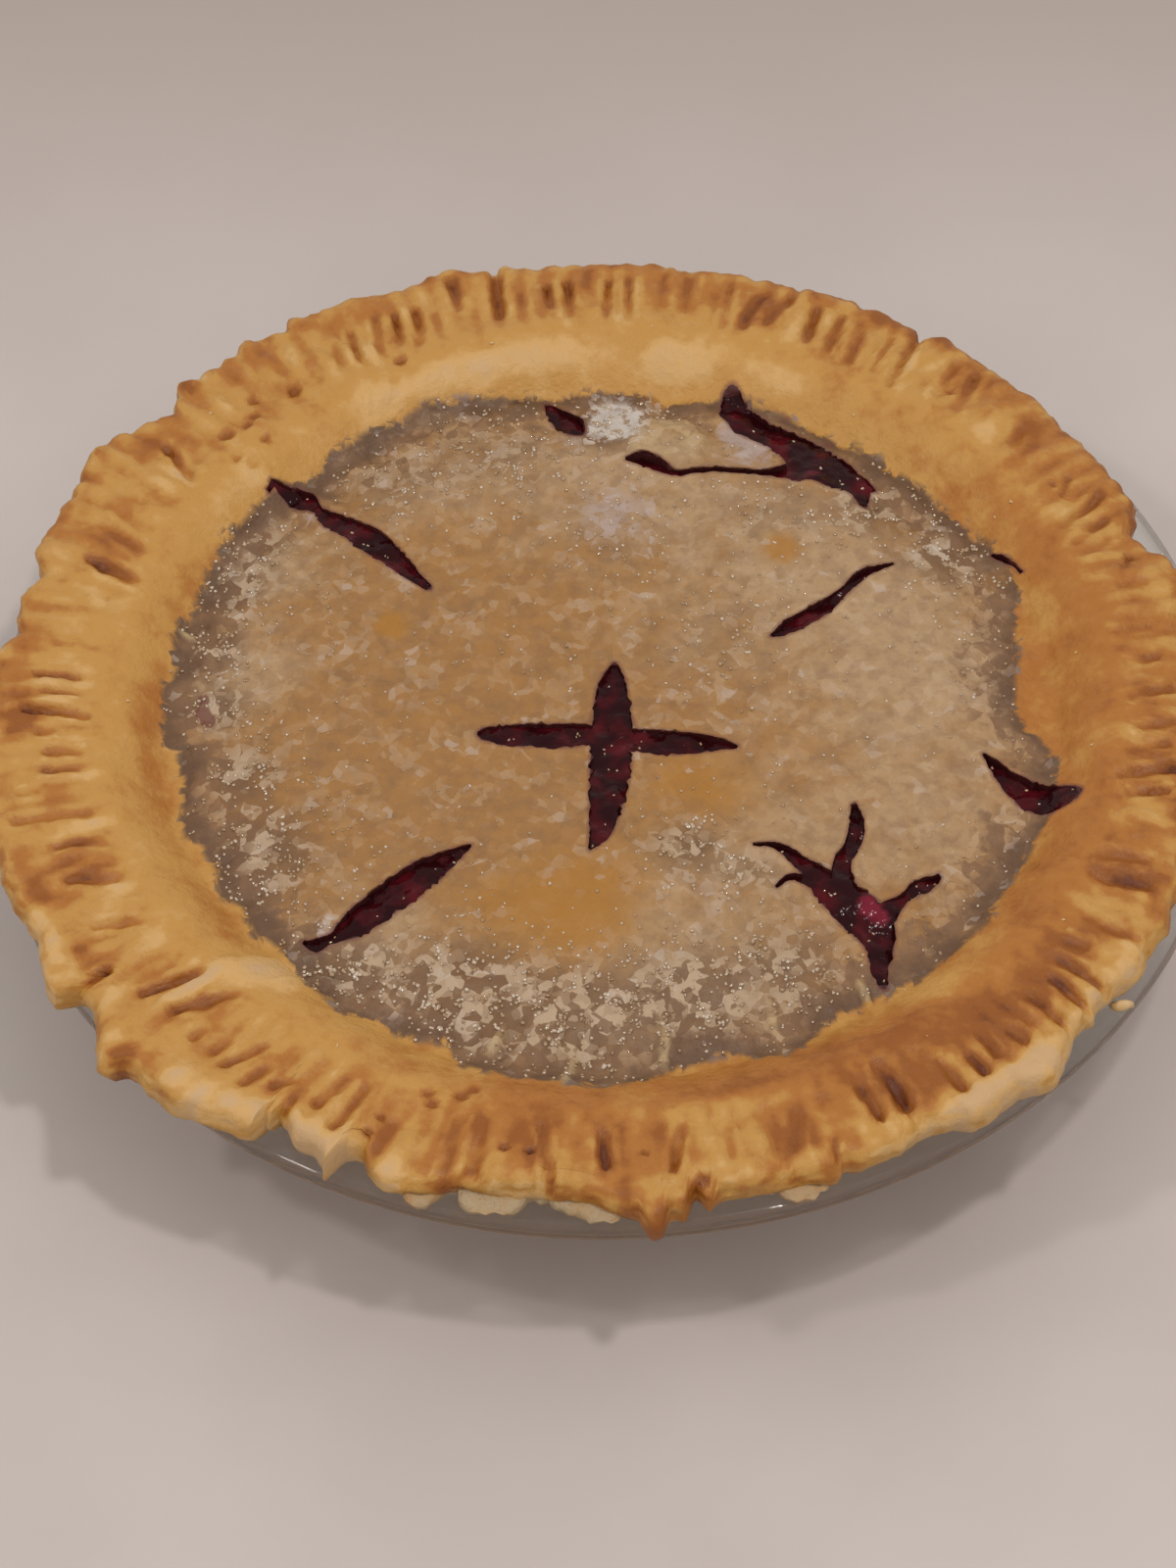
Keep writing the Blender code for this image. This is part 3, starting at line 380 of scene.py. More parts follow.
# Where the sugar is thickest and whitest
WHITE_PATCHES = [
    (4.4, 79.5, 6.6, 1.7), (0.6, 76.5, 6, 1.2), (7.6, 73.6, 4, 0.7), (-74, 30, 5, 0.5), (-77, 12, 4, 0.6),
    (-56, -52, 3, 0.8), (70, 40, 5, 0.5), (54, 34, 2, 0.6), (30, 68, 4, 0.5), (-28, -66, 6, 0.3),
    (18, -38, 5, 0.4),
]
# Where juice soaked into the sugar and turned it lilac, and, at (2, 50), one wide pale lilac-grey patch
# that is a painted sheen
LILAC_AND_SHEEN_PATCHES = [
    (31.6, 69, 6.4, 1.2), (27, 74, 4, 0.9), (14.8, 89.4, 3, 0.9), (-5.4, 72, 3, 1.1), (-60, 55, 2.8, 0.9),
    (-56, -52.6, 2.6, 1.0), (2, 50, 12, 0.75), (46, 67, 4, 0.5), (53, 33.5, 3, 0.5), (-50, -54, 3, 0.6),
    (44, -40, 3, 0.3),
]
# The finishes of the lid that lists of patches give
PATCH_FINISHES = {"gilded": GOLD_PATCHES, "heaped": SUGAR_PATCHES, "whitened": WHITE_PATCHES,
                  "hazed": HAZE_PATCHES, "lilac": LILAC_AND_SHEEN_PATCHES}
# Where the juice welled up over the lid
SPILLS = [
    (29, 79, 6, 1.1), (37, 72, 6, 1.0), (44, 66, 8, 1.3), (51, 60, 7, 1.2), (45, -50, 8, 0.6),
    (82, -25, 7, 0.5),
]
# Cherries that stand up pink out of the juice
FLESH_PATCHES = [
    (48.8, -51.4, 3.2, 1.1), (51.5, -54, 2.4, 0.6), (44, 62, 3, 0.6), (-45, -50, 3, 0.4),
    (84, -27, 3, 0.3),
]
# Pale folds of pastry that run from the sugared middle up the bank: (x, y, length, width)
PALE_FOLDS = [
    (8.5, -82, 9, 2.2), (-9.6, -88, 5, 2.6), (-23, -80, 4, 2.2), (29, -76, 5, 2.0), (-62, -66, 4, 2.2),
    (47, -72, 5, 2.0), (-84, 24, 3, 2.0),
]


def smooth(low, high, value):
    """0 below low, 1 above high, and an S-curve between."""
    t = min(1.0, max(0.0, (value - low) / (high - low)))
    return t * t * (3.0 - 2.0 * t)


def mark_sum(marks, degrees):
    """The height at an angle of a row of soft bumps and dips."""
    total = 0.0
    for at, amount, half_width in marks:
        away = abs((degrees - at + 180.0) % 360.0 - 180.0)
        total += amount * (1.0 - smooth(0.0, 1.6 * half_width, away))
    return total


def by_degree(marks, reach):
    """Lists the marks that come near each whole degree, so that a place looks only at those near it."""
    table = [[] for _ in range(360)]
    for mark in marks:
        for degree in range(math.floor(mark[0] - reach), math.ceil(mark[0] + reach) + 1):
            table[degree % 360].append(mark)
    return table


FORK_TABLE = by_degree(FORK_MARKS, 4)
PIT_TABLE = by_degree(PITS, 3)
BROWNING_TABLE = by_degree(BROWNING, 20)


def turn_between(degrees, other):
    """The signed turn from one angle to another, in degrees."""
    return (degrees - other + 180.0) % 360.0 - 180.0


def fork_depth(degrees, radius):
    """How deep the fork's marks are at a place on the rim, and how high the ridges beside them are."""
    depth = 0.0
    ridge = 0.0
    for outer_at, outer_r, inner_at, inner_r, width, deep in FORK_TABLE[int(degrees) % 360]:
        share = min(1.0, max(0.0, (outer_r - radius) / (outer_r - inner_r)))
        middle = outer_at + (inner_at - outer_at) * share
        across = math.radians(turn_between(degrees, middle)) * radius
        beyond = max(0.0, radius - outer_r, inner_r - radius)
        ragged = 0.3 * noise.noise(Vector((across / 1.6, radius / 2.6, outer_at)))
        away = math.hypot(across, beyond) / (0.5 * width) + ragged
        if away < 1.1:
            depth = max(depth, deep * (1.0 - 0.45 * share) * (1.0 - smooth(0.15, 1.1, away)))
        side = abs(across) / (0.5 * width) + ragged
        if 0.8 < side < 2.2 and beyond < 1.0:
            lift = 0.5 + noise.noise(Vector((0.3 * radius, outer_at, 2.0 if across > 0.0 else 5.0)))
            ridge = max(ridge, min(1.0, deep) * lift
                        * smooth(0.8, 1.4, side) * (1.0 - smooth(1.4, 2.2, side)))
    return depth, max(0.0, ridge * (1.0 - min(1.0, 2.0 * depth)))


def pit_depth(degrees, radius):
    """How deep the small pits are at a place on the rim."""
    depth = 0.0
    for at, pit_r, size, deep in PIT_TABLE[int(degrees) % 360]:
        across = math.radians(turn_between(degrees, at)) * radius
        away = math.hypot(across, 1.3 * (radius - pit_r)) / size
        if away < 1.0:
            depth = max(depth, deep * (1.0 - away ** 2))
    return depth


def browning(degrees, radius):
    """How much browner or paler than the rest the rim is at a place."""
    total = 0.0
    for at, spot_r, wide, tall, amount in BROWNING_TABLE[int(degrees) % 360]:
        across = math.radians(turn_between(degrees, at)) * radius / wide
        away = across * across + ((radius - spot_r) / tall) ** 2
        if away < 4.0:
            total += amount * math.exp(-away * away * 0.7 - 0.3 * away)
    return total


def patch_sum(patches, x, y):
    """How strongly a list of soft round patches covers a place."""
    total = 0.0
    for px, py, size, strength in patches:
        away = ((x - px) ** 2 + (y - py) ** 2) / (size * size)
        if away < 4.0:
            total += strength * math.exp(-1.4 * away)
    return total


def bumps(x, y, scale, seed=0.0):
    """Even noise from -1 to 1 whose bumps are about scale millimetres wide."""
    return noise.noise(Vector((x / scale, y / scale, seed)))


def ring_noise(theta, turns, seed):
    """Noise from -1 to 1 round the rim, with about so many bumps to each quarter of the way."""
    return noise.noise(Vector((turns * math.cos(theta), turns * math.sin(theta), seed)))


def hand_trimmed(theta):
    """The lid's outer radius at an angle: a hand-trimmed round, set a little off the dish's middle."""
    wander = 0.9 * ring_noise(theta, 3.0, 4.0)
    shift = RIM_SHIFT[0] * math.cos(theta) + RIM_SHIFT[1] * math.sin(theta)
    return RIM_RADIUS + shift + wander + mark_sum(EDGE_MARKS, math.degrees(theta))


RIM_TABLE = [hand_trimmed(math.tau * i / RIM_STEPS) for i in range(RIM_STEPS + 1)]


def rim_radius(theta):
    """The hand-trimmed radius at an angle, looked up between the steps of a table."""
    place = (theta / math.tau % 1.0) * RIM_STEPS
    step = int(place)
    return RIM_TABLE[step] + (RIM_TABLE[min(step + 1, RIM_STEPS)] - RIM_TABLE[step]) * (place - step)


def seen_outline(outline, level):
    """An outline seen against the rim's height, carried down the line of sight to its own level."""
    places = []
    for degrees, radius in outline:
        x = radius * math.cos(math.radians(degrees))
        y = radius * math.sin(math.radians(degrees)) + SIGHT_SLOPE * (RIM_TOP - level)
        places.append((math.degrees(math.atan2(y, x)) % 360.0, math.hypot(x, y)))
    places.sort()
    return [p[0] for p in places], [p[1] for p in places]


LID_FRONT_LINE = seen_outline(LID_FRONT, LID_EDGE_LEVEL)
UNDER_FRONT_LINE = seen_outline(UNDER_FRONT, UNDER_EDGE_LEVEL)


def front_radius(line, theta, plain):
    """The radius of the front outline at an angle, and the plain radius away from the front."""
    degrees = math.degrees(theta) % 360.0
    share = smooth(FRONT_FROM, FRONT_FROM + 3.0, degrees)
    share *= 1.0 - smooth(FRONT_TO - 4.0, FRONT_TO, degrees)
    return plain + (float(np.interp(degrees, line[0], line[1])) - plain) * share


def torn_radius(theta):
    """The lid's outer radius with the flakes, nicks and crumbs of a torn edge, roughest at the front."""
    nicks = 0.5 * ring_noise(theta, 20.0, 1.0) + 0.55 * ring_noise(theta, 44.0, 2.0)
    plain = rim_radius(theta) + mark_sum(EDGE_DETAILS, math.degrees(theta)) + nicks
    front = front_radius(LID_FRONT_LINE, theta, plain)
    return front + 0.45 * ring_noise(theta, 64.0, 3.0)


def fork_presses():
    """The place, tilt, start and depth of each press of the fork round the rim."""
    draw = random.Random(PASTRY_SEED)
    presses = []
    for i in range(PRESSES):
        presses.append({
            "angle": math.tau * (i + draw.uniform(-0.16, 0.16)) / PRESSES,
            "tilt": draw.uniform(-0.16, 0.16),
            "inner": GROOVE_INNER + draw.uniform(-2.0, 2.5),
            "depth": GROOVE_DEPTH * draw.uniform(0.55, 1.15),
        })
    return presses


PRESS_LIST = fork_presses()


def groove_depth(theta, radius, outer):
    """How deep the fork's grooves are at a place on the rim."""
    if radius < GROOVE_INNER - 3.0:
        return 0.0
    nearest = round(theta / math.tau * PRESSES)
    depth = 0.0
    for i in (nearest - 1, nearest, nearest + 1):
        press = PRESS_LIST[i % PRESSES]
        turn = (theta - press["angle"] + math.pi) % math.tau - math.pi
        across = turn * GROOVE_MIDDLE - press["tilt"] * (radius - GROOVE_MIDDLE)
        for tine in range(TINES):
            offset = abs(across - (tine - 0.5 * (TINES - 1)) * TINE_PITCH)
            if offset < 0.5 * GROOVE_WIDTH:
                own = noise.noise(Vector((3.7 * (i % PRESSES), 5.3 * tine, 0.5)))
                start = press["inner"] + 2.5 * own
                along = smooth(start, start + 1.6, radius)
                along *= 1.0 - 0.7 * smooth(outer - 4.0, outer, radius)
                shape = (0.5 + 0.5 * math.cos(math.tau * offset / GROOVE_WIDTH)) ** 0.8
                depth = max(depth, press["depth"] * (1.15 + 0.5 * own) * along * shape)
    return depth


def lid_line(radius):
    """The lid's even height at a radius, before any unevenness: dome, valley, bank and rim."""
    dome = VALLEY_Z + (DOME_Z - VALLEY_Z) * (1.0 - smooth(DOME_SHOULDER, VALLEY_RADIUS, radius))
    climb = min(1.0, max(0.0, (radius - VALLEY_RADIUS) / (BANK_TOP_RADIUS - VALLEY_RADIUS)))
    return dome + (RIM_TOP - VALLEY_Z) * math.sin(0.5 * math.pi * climb)


def sugar_edge(theta):
    """The radius at which the sugared middle stops, ragged as the brush or the baking left it."""
    degrees = math.degrees(theta) % 360.0
    return float(np.interp(degrees, *SUGAR_BORDER_LINE)) + 0.5 * ring_noise(theta, 9.0, 6.0)


def sugar_lump(x, y):
    """How high the half-melted lumps of sugar stand at a place, from 0 to 1."""
    radius = math.hypot(x, y)
    if radius > 93.0:
        return 0.0
    warp = bumps(x, y, 5.0, 61.0)
    away = noise.voronoi(Vector(((x + 1.8 * warp) / 4.4, (y - 1.8 * warp) / 4.4, 0.7)))[0][0]
    lump = math.sqrt(max(0.0, 1.0 - (away / 0.74) ** 2))
    return lump * (1.0 - smooth(-0.6, 1.0, radius - sugar_edge(math.atan2(y, x))))


def pale_fold(x, y):
    """How much of a place is one of the pale folds that climb the bank."""
    share = 0.0
    if not 72.0 < math.hypot(x, y) < 96.0:
        return share
    for px, py, length, width in PALE_FOLDS:
        out = Vector((px, py)).normalized()
        along = (x - px) * out.x + (y - py) * out.y
        across = (y - py) * out.x - (x - px) * out.y + 0.6 * math.sin(0.5 * along)
        share = max(share, 1.0 - smooth(0.5, 1.0, math.hypot(along / length, across / (0.6 * width))))
    return share


def lid_top(x, y):
    """The height of the baked lid's upper face over a point, with its folds, fork marks and blisters."""
    radius = math.hypot(x, y)
    theta = math.atan2(y, x)
    degrees = math.degrees(theta) % 360.0
    outer = rim_radius(theta)
    wobble = 1.6 * ring_noise(theta, 2.2, 9.0)
    height = lid_line(radius + wobble * smooth(60.0, 85.0, radius) * (1.0 - smooth(95.0, 104.0, radius)))
    height += 0.7 * bumps(x, y, 26.0) + 0.45 * bumps(x, y, 9.0, 5.0)
    height += 1.1 * bumps(x, y, 15.0, 2.0) * smooth(96.0, 106.0, radius)
    folds = smooth(76.0, 82.0, radius) * (1.0 - smooth(86.0, 91.0, radius))
    height += 0.35 * folds * math.sin(44.0 * theta + 5.0 * bumps(x, y, 30.0, 3.0))
    on_rim = smooth(VALLEY_RADIUS - 1.0, VALLEY_RADIUS + 3.0, radius)
    if radius > 88.0:
        depth, ridge = fork_depth(degrees, radius)
        height += 0.35 * ridge - 0.75 * depth - 0.2 * groove_depth(theta, radius, outer)
        height -= pit_depth(degrees, radius)
        height += 0.55 * smooth(0.22, 0.36, -browning(degrees, radius))
        ripple = 0.5 + 0.5 * smooth(100.0, 106.0, radius)
        craggy = 1.0 - smooth(10.0, 20.0, abs(turn_between(degrees, CRAGGY_AT)))
        crags = 0.9 * bumps(x, y, 4.6, 71.0) + 0.5 * bumps(x, y, 2.3, 72.0)
        height += craggy * smooth(98.0, 103.0, radius) * crags
        height += on_rim * ripple * (0.5 * bumps(x, y, 5.2, 7.0) + 0.34 * bumps(x, y, 2.4, 8.0))
    if radius < 95.0:
        height += (1.0 - on_rim) * (0.3 * bumps(x, y, 4.4, 11.0) + 0.1 * bumps(x, y, 2.2, 12.0))
        thick = 0.35 + 0.3 * min(1.0, patch_sum(SUGAR_PATCHES, x, y)) + 0.35 * smooth(62.0, 80.0, radius)
        height += thick * sugar_lump(x, y) + 0.9 * pale_fold(x, y)
        flake = math.hypot(x - FLAKE_X, y - FLAKE_Y) / (FLAKE_RADIUS + 0.8 * bumps(x, y, 4.0, 63.0))
        height += 1.1 * (1.0 - smooth(0.86, 1.0, flake))
        tuck = abs(radius - sugar_edge(theta) + 0.8)
        height -= 0.4 * (1.0 - smooth(0.0, 1.8, tuck)) * (0.8 + bumps(x, y, 12.0, 64.0))
    return height


def lid_under(radius):
    """The height of the lid's underside: along the dome, then level on the under-crust at the rim."""
    loose = lid_line(radius) - LID_THICKNESS
    return loose + (LID_SEAT - loose) * smooth(VALLEY_RADIUS + 1.0, LIP_RADIUS - 4.0, radius)


def stroke_line(points):
    """A smooth line of (x, y, width) through a stroke's points, with a point every STROKE_STEP."""
    line = []
    for i in range(len(points) - 1):
        a, b = Vector(points[i]), Vector(points[i + 1])
        before = Vector(points[max(i - 1, 0)])
        after = Vector(points[min(i + 2, len(points) - 1)])
        pieces = max(1, round((b.xy - a.xy).length / STROKE_STEP))
        for k in range(pieces):
            t = k / pieces
            line.append(0.5 * (2.0 * a + (b - before) * t
                               + (2.0 * before - 5.0 * a + 4.0 * b - after) * t * t
                               + (3.0 * a - before - 3.0 * b + after) * t ** 3))
    line.append(Vector(points[-1]))
    return line


STROKE_LINES = {name: stroke_line(points) for name, points in STROKES.items()}
STROKE_SAMPLES = np.array([tuple(p) for line in STROKE_LINES.values() for p in line])


def vent_distance(x, y):
    """How far places are from the nearest opening's edge, less than 0 inside it. x and y are arrays."""
    nearest = np.full(len(x), 1e3)
    for px, py, width in STROKE_SAMPLES:
        nearest = np.minimum(nearest, np.hypot(x - px, y - py) - 0.5 * max(width, 0.6))
    return nearest


def stroke_sides(line, shrink, seed):
    """The torn left and right sides of a stroke: half its width from its line, nibbled in and out."""
    left, right = [], []
    last = len(line) - 1
    for i, point in enumerate(line):
        along = (line[min(i + 1, last)] - line[max(i - 1, 0)]).xy.normalized()
        across = Vector((-along.y, along.x))
        for side, sign in ((left, 1.0), (right, -1.0)):
            nibble = 0.2 * noise.noise(Vector((0.42 * i, 9.0 * sign, seed)))
            nibble += 0.25 * noise.noise(Vector((1.1 * i, 9.0 * sign, seed + 40.0)))
            half = 0.5 * max(point.z, 0.7) * (1.0 + nibble) + 0.45 * nibble - shrink
            side.append(point.xy + across * sign * max(half, 0.12))
    return left, right


def tint(red, green, blue):
    """A colour given as 0 to 255 display values, as the linear values that shaders take."""
    linear = []
    for value in (red, green, blue):
        share = value / 255.0
        linear.append(share / 12.92 if share <= 0.04045 else ((share + 0.055) / 1.055) ** 2.4)
    return (*linear, 1.0)


def deselect_all():
    bpy.ops.object.select_all(action="DESELECT")


def pick(obj):
    """Selects one piece alone and makes it the active one."""
    deselect_all()
    obj.select_set(True)
    bpy.context.view_layer.objects.active = obj


def wrapped_round(name, outline, steps):
    """A round body before its weld: a sheet wrapped round, whose rows lie on an outline's points."""
    rows = len(outline) - 1
    deselect_all()
    bpy.ops.mesh.primitive_grid_add(x_subdivisions=steps, y_subdivisions=rows, size=1.0)
    obj = bpy.context.object
    obj.name = name
    obj.data.name = name
    count = len(obj.data.vertices)
    sheet = np.empty(count * 3)
    obj.data.vertices.foreach_get("co", sheet)
    sheet = sheet.reshape(count, 3)
    ring = np.rint((0.5 - sheet[:, 1]) * rows).astype(int)
    column = np.rint((sheet[:, 0] + 0.5) * steps).astype(int) % steps
    angle = column * math.tau / steps
    radius = np.array([p[0] for p in outline])[ring]
    height = np.array([p[1] for p in outline])[ring]
    points = np.column_stack([radius * np.cos(angle), radius * np.sin(angle), height])
    return obj, ring, angle, points


def set_points(obj, points):
    """Puts the points of a mesh where an array in millimetres says."""
    obj.data.vertices.foreach_set("co", (points * MM).ravel())
    obj.data.update()


def get_points(obj):
    """The places of a mesh's points, in millimetres."""
    flat = np.empty(len(obj.data.vertices) * 3)
    obj.data.vertices.foreach_get("co", flat)
    return flat.reshape(-1, 3) / MM


def weld(obj):
    """Merges a piece's doubled points, as along a wrapped sheet's seam, and turns its faces outwards."""
    pick(obj)
    bpy.ops.object.mode_set(mode="EDIT")
    bpy.ops.mesh.select_all(action="SELECT")
    bpy.ops.mesh.remove_doubles(threshold=WELD)
    bpy.ops.mesh.normals_make_consistent(inside=False)
    bpy.ops.object.mode_set(mode="OBJECT")


def smooth_shade(obj, degrees):
    """Shades a piece smooth, but for edges sharper than an angle."""
    pick(obj)
    bpy.ops.object.shade_smooth_by_angle(angle=math.radians(degrees))


def dress(obj, look):
    """Gives a piece its one material."""
    obj.data.materials.clear()
    obj.data.materials.append(look)


def extrude_down(obj, depth):
    """Turns a flat sheet into a closed slab so many millimetres deep."""
    pick(obj)
    bpy.ops.object.mode_set(mode="EDIT")
    bpy.ops.mesh.select_all(action="SELECT")
    bpy.ops.mesh.extrude_region_move(TRANSFORM_OT_translate={"value": (0.0, 0.0, -depth * MM)})
    bpy.ops.mesh.select_all(action="SELECT")
    bpy.ops.mesh.normals_make_consistent(inside=False)
    bpy.ops.object.mode_set(mode="OBJECT")


def stroke_slab(name, sides, bottom, top):
    """A closed upright slab between two sides: a strip of a grid pulled to them and extruded."""
    left, right = sides
    cells = len(left) - 1
    deselect_all()
    bpy.ops.mesh.primitive_grid_add(x_subdivisions=cells, y_subdivisions=1, size=1.0)
    slab = bpy.context.object
    slab.name = name
    for vert in slab.data.vertices:
        place = (right if vert.co.y < 0.0 else left)[round((vert.co.x + 0.5) * cells)]
        vert.co = (place.x * MM, place.y * MM, top * MM)
    extrude_down(slab, top - bottom)
    return slab


def vent_slabs(shrink, bottom, top):
    """All the openings' slabs joined into one closed body by a union."""
    slabs = []
    for seed, (name, line) in enumerate(STROKE_LINES.items()):
        sides = stroke_sides(line, shrink, float(seed))
        slabs.append(stroke_slab("slab_" + name, sides, bottom, top - 0.05 * seed))
    first = slabs[0]
    for other in slabs[1:]:
        boolean(first, other, "UNION")
    return first


def boolean(obj, other, operation):
    """Cuts, joins or keeps the overlap of two closed bodies, and clears the second away."""
    change = obj.modifiers.new(operation.title(), "BOOLEAN")
    change.operation = operation
    change.solver = "MANIFOLD"
    change.object = other
    pick(obj)
    bpy.ops.object.modifier_apply(modifier=change.name)
    bpy.data.objects.remove(other)


def bake_and_shade_share(x, y, z, radius, theta):
    """How brown the pastry is at a place, with painted shade in the fork marks and pits and painted
    highlights on the ridges beside them: under 0 is pale, 0 is gold and 1 is deep brown.
    """
    degrees = math.degrees(theta) % 360.0
    outer = rim_radius(theta)
    depth, ridge = fork_depth(degrees, radius)
    right_side = smooth(-0.3, 0.7, math.cos(theta + 0.55))
    share = 0.16 + 0.26 * right_side + 0.16 * smooth(101.0, 108.0, radius)
    # Partly browning and partly painted light: the fork's marks and the pits are darker, as painted shade
    # in the hollows, and the ridges beside the marks paler, as painted highlights
    share += 0.75 * depth / GROOVE_DEPTH - 0.4 * ridge + 0.7 * pit_depth(degrees, radius)
    share += 0.12 * groove_depth(theta, radius, outer) / GROOVE_DEPTH
    share += 0.2 * bumps(x, y, 13.0, 21.0) + 0.16 * bumps(x, y, 5.0, 22.0)
    streaks = noise.noise(Vector((40.0 * math.cos(theta), 40.0 * math.sin(theta), 0.12 * radius)))
    share += 0.45 * streaks * smooth(99.0, 104.0, radius)
    pale_front = mark_sum(PALE_FRONT, degrees)
    share -= pale_front * smooth(outer - 5.5, outer - 1.5, radius + 1.5 * streaks)
    layers = noise.noise(Vector((x / 5.0, y / 5.0, z / 0.9)))
    share += 0.7 * layers * smooth(outer - 4.5, outer - 2.0, radius)
    return share + browning(degrees, radius)


def write_finish(obj):
    """Writes how sugared, baked, lumpy, creamy, stained, browned and patched the lid is, for its look. The
    baked value carries painted shade and highlights at the fork marks and pits, the lumpy one feeds painted
    shade between the sugar lumps, and the lilac patches hold one painted sheen.
    """
    points = get_points(obj)
    names = ("sugared", "baked", "lumpy", "creamy", *PATCH_FINISHES)
    rows = {name: np.zeros(len(points)) for name in names}
    for i, (x, y, z) in enumerate(points):
        radius = math.hypot(x, y)
        theta = math.atan2(y, x)
        rows["sugared"][i] = 0.5 + (sugar_edge(theta) - radius) / 8.0
        if radius > 80.0:
            rows["baked"][i] = bake_and_shade_share(x, y, z, radius, theta)
        if radius < 96.0:
            for name, patches in PATCH_FINISHES.items():
                rows[name][i] = patch_sum(patches, x, y)
            rows["lumpy"][i] = sugar_lump(x, y)
            flake = math.hypot(x - FLAKE_X, y - FLAKE_Y) / (FLAKE_RADIUS + 0.2)
            rows["creamy"][i] = max(pale_fold(x, y), 1.0 - smooth(0.8, 1.05, flake))
    near_vent = vent_distance(points[:, 0], points[:, 1])
    rows["stained"] = 1.0 - near_vent / 4.0
    for i in np.flatnonzero(near_vent < 1.5):
        x, y, z = points[i]
        if z < lid_top(x, y) - 0.6:
            rows["stained"][i] += 0.8
    rows["browned"] = np.array([patch_sum(STAIN_PATCHES, x, y) for x, y, _ in points])
    for name, values in rows.items():
        attribute = obj.data.attributes.new(name, "FLOAT", "POINT")
        attribute.data.foreach_set("value", np.clip(values, -2.0, 3.0).astype(np.float32))


def lid_outline():
    """The lid's rings, from the middle of its upper face round the edge to the middle of its underside.
    Each is (radius, part, share): part 0 is the upper face, 1 the rolled edge and 2 the underside."""
    rings = [(0.0, 0, 0.0)]
    radius = 1.5
    while radius < RIM_RADIUS - EDGE_ROLL:
        rings.append((radius, 0, 0.0))
        radius += next(gap for reach, gap in RING_GAPS if radius < reach)
    for k in range(ROLL_STEPS + 1):
        rings.append((RIM_RADIUS, 1, k / ROLL_STEPS))
    for radius in UNDERSIDE_RINGS:
        rings.append((radius, 2, 0.0))
    return rings


def rolled_edge(theta, edge, share):
    """A place on the lid's rolled edge. The share runs from 0 at the upper face to 1 at the foot."""
    turn = share * ROLL_ANGLE
    high = lid_top((edge - EDGE_ROLL) * math.cos(theta), (edge - EDGE_ROLL) * math.sin(theta))
    middle = 0.5 * (high + EDGE_FOOT)
    half = 0.5 * (high - EDGE_FOOT)
    level = middle + half * math.cos(turn)
    flake = 0.6 * noise.noise(Vector((34.0 * math.cos(theta), 34.0 * math.sin(theta), 0.5 * level)))
    flake += 0.6 * noise.noise(Vector((14.0 * math.cos(theta), 14.0 * math.sin(theta), 0.9 * level)))
    reach = edge - EDGE_ROLL + (EDGE_ROLL + flake) * math.sin(turn) ** 0.75
    return reach * math.cos(theta), reach * math.sin(theta), level


def make_lid():
    """The sugared lid with its fork-marked rim, torn edge and openings."""
    rings = lid_outline()
    lid, ring, angle, points = wrapped_round("pie_lid", [(r, 0.0) for r, _, _ in rings], LID_STEPS)
    torn = {}
    for i in range(len(points)):
        nominal, part, share = rings[ring[i]]
        theta = angle[i]
        if nominal == 0.0:
            points[i, 2] = lid_top(0.0, 0.0) if part == 0 else lid_under(0.0)
            continue
        key = round(theta, 5)
        if key not in torn:
            torn[key] = torn_radius(theta)
        edge = torn[key]
        if part == 1:
            points[i] = rolled_edge(theta, edge, share)
            continue
        if nominal > BANK_TOP_RADIUS:
            points[i, :2] *= 1.0 + ((edge - RIM_RADIUS) * (nominal - BANK_TOP_RADIUS)
                                    / (RIM_RADIUS - BANK_TOP_RADIUS) / nominal)
        if part == 0:
            points[i, 2] = lid_top(points[i, 0], points[i, 1])
        else:
            points[i, 2] = lid_under(math.hypot(points[i, 0], points[i, 1]))
    near_vent = vent_distance(points[:, 0], points[:, 1])
    upper = np.array([rings[r][1] == 0 for r in ring])
    curl = np.exp(-(np.maximum(near_vent, 0.0) / 1.5) ** 2)
    swell = np.array([0.45 + 0.75 * bumps(x, y, 6.0, 31.0) for x, y, _ in points])
    points[:, 2] += upper * curl * swell * 0.8
    set_points(lid, points)
    weld(lid)
    boolean(lid, vent_slabs(0.0, CUT_BOTTOM, CUT_TOP), "DIFFERENCE")
    write_finish(lid)
    smooth_shade(lid, EDGE_SHADE)
    return lid


def juice_top(x, y):
    """The height of the filling in an opening: cherries rounded up under a skin of juice."""
    place = Vector((x / 12.5, y / 12.5, 0.3))
    away = noise.voronoi(place)[0][0]
    cherry = math.sqrt(max(0.0, 1.0 - (away / 0.62) ** 2))
    rise = 1.0 * patch_sum(FLESH_PATCHES, x, y) + min(1.2, patch_sum(SPILLS, x, y))
    return 0.9 * cherry + rise + 0.55 * bumps(x, y, 2.8, 41.0) + 0.2 * bumps(x, y, 1.4, 42.0)


def juice_level(x, y):
    """The height of the juice in an opening."""
    face = lid_line(min(math.hypot(x, y), 95.0)) + 0.7 * bumps(x, y, 26.0) + 0.45 * bumps(x, y, 9.0, 5.0)
    return face - 1.1 + juice_top(x, y)


def juicy_plugs():
    """The filling that stands up into the openings: a slab with a juicy top, cut to the openings alone."""
    deselect_all()
    bpy.ops.mesh.primitive_grid_add(x_subdivisions=FILLING_CELLS, y_subdivisions=FILLING_CELLS,
                                    size=FILLING_SPAN * MM)
    slab = bpy.context.object
    slab.name = "cherry_filling"
    extrude_down(slab, PLUG_DEPTH)
    points = get_points(slab)
    upper = points[:, 2] > -0.5 * PLUG_DEPTH
    for i, (x, y, _) in enumerate(points):
        if upper[i]:
            points[i, 2] = juice_level(x, y)
        else:
            points[i, 2] = lid_under(min(math.hypot(x, y), 95.0)) - 3.0
    set_points(slab, points)
    boolean(slab, vent_slabs(0.1, CUT_BOTTOM, CUT_TOP), "INTERSECT")
    return slab


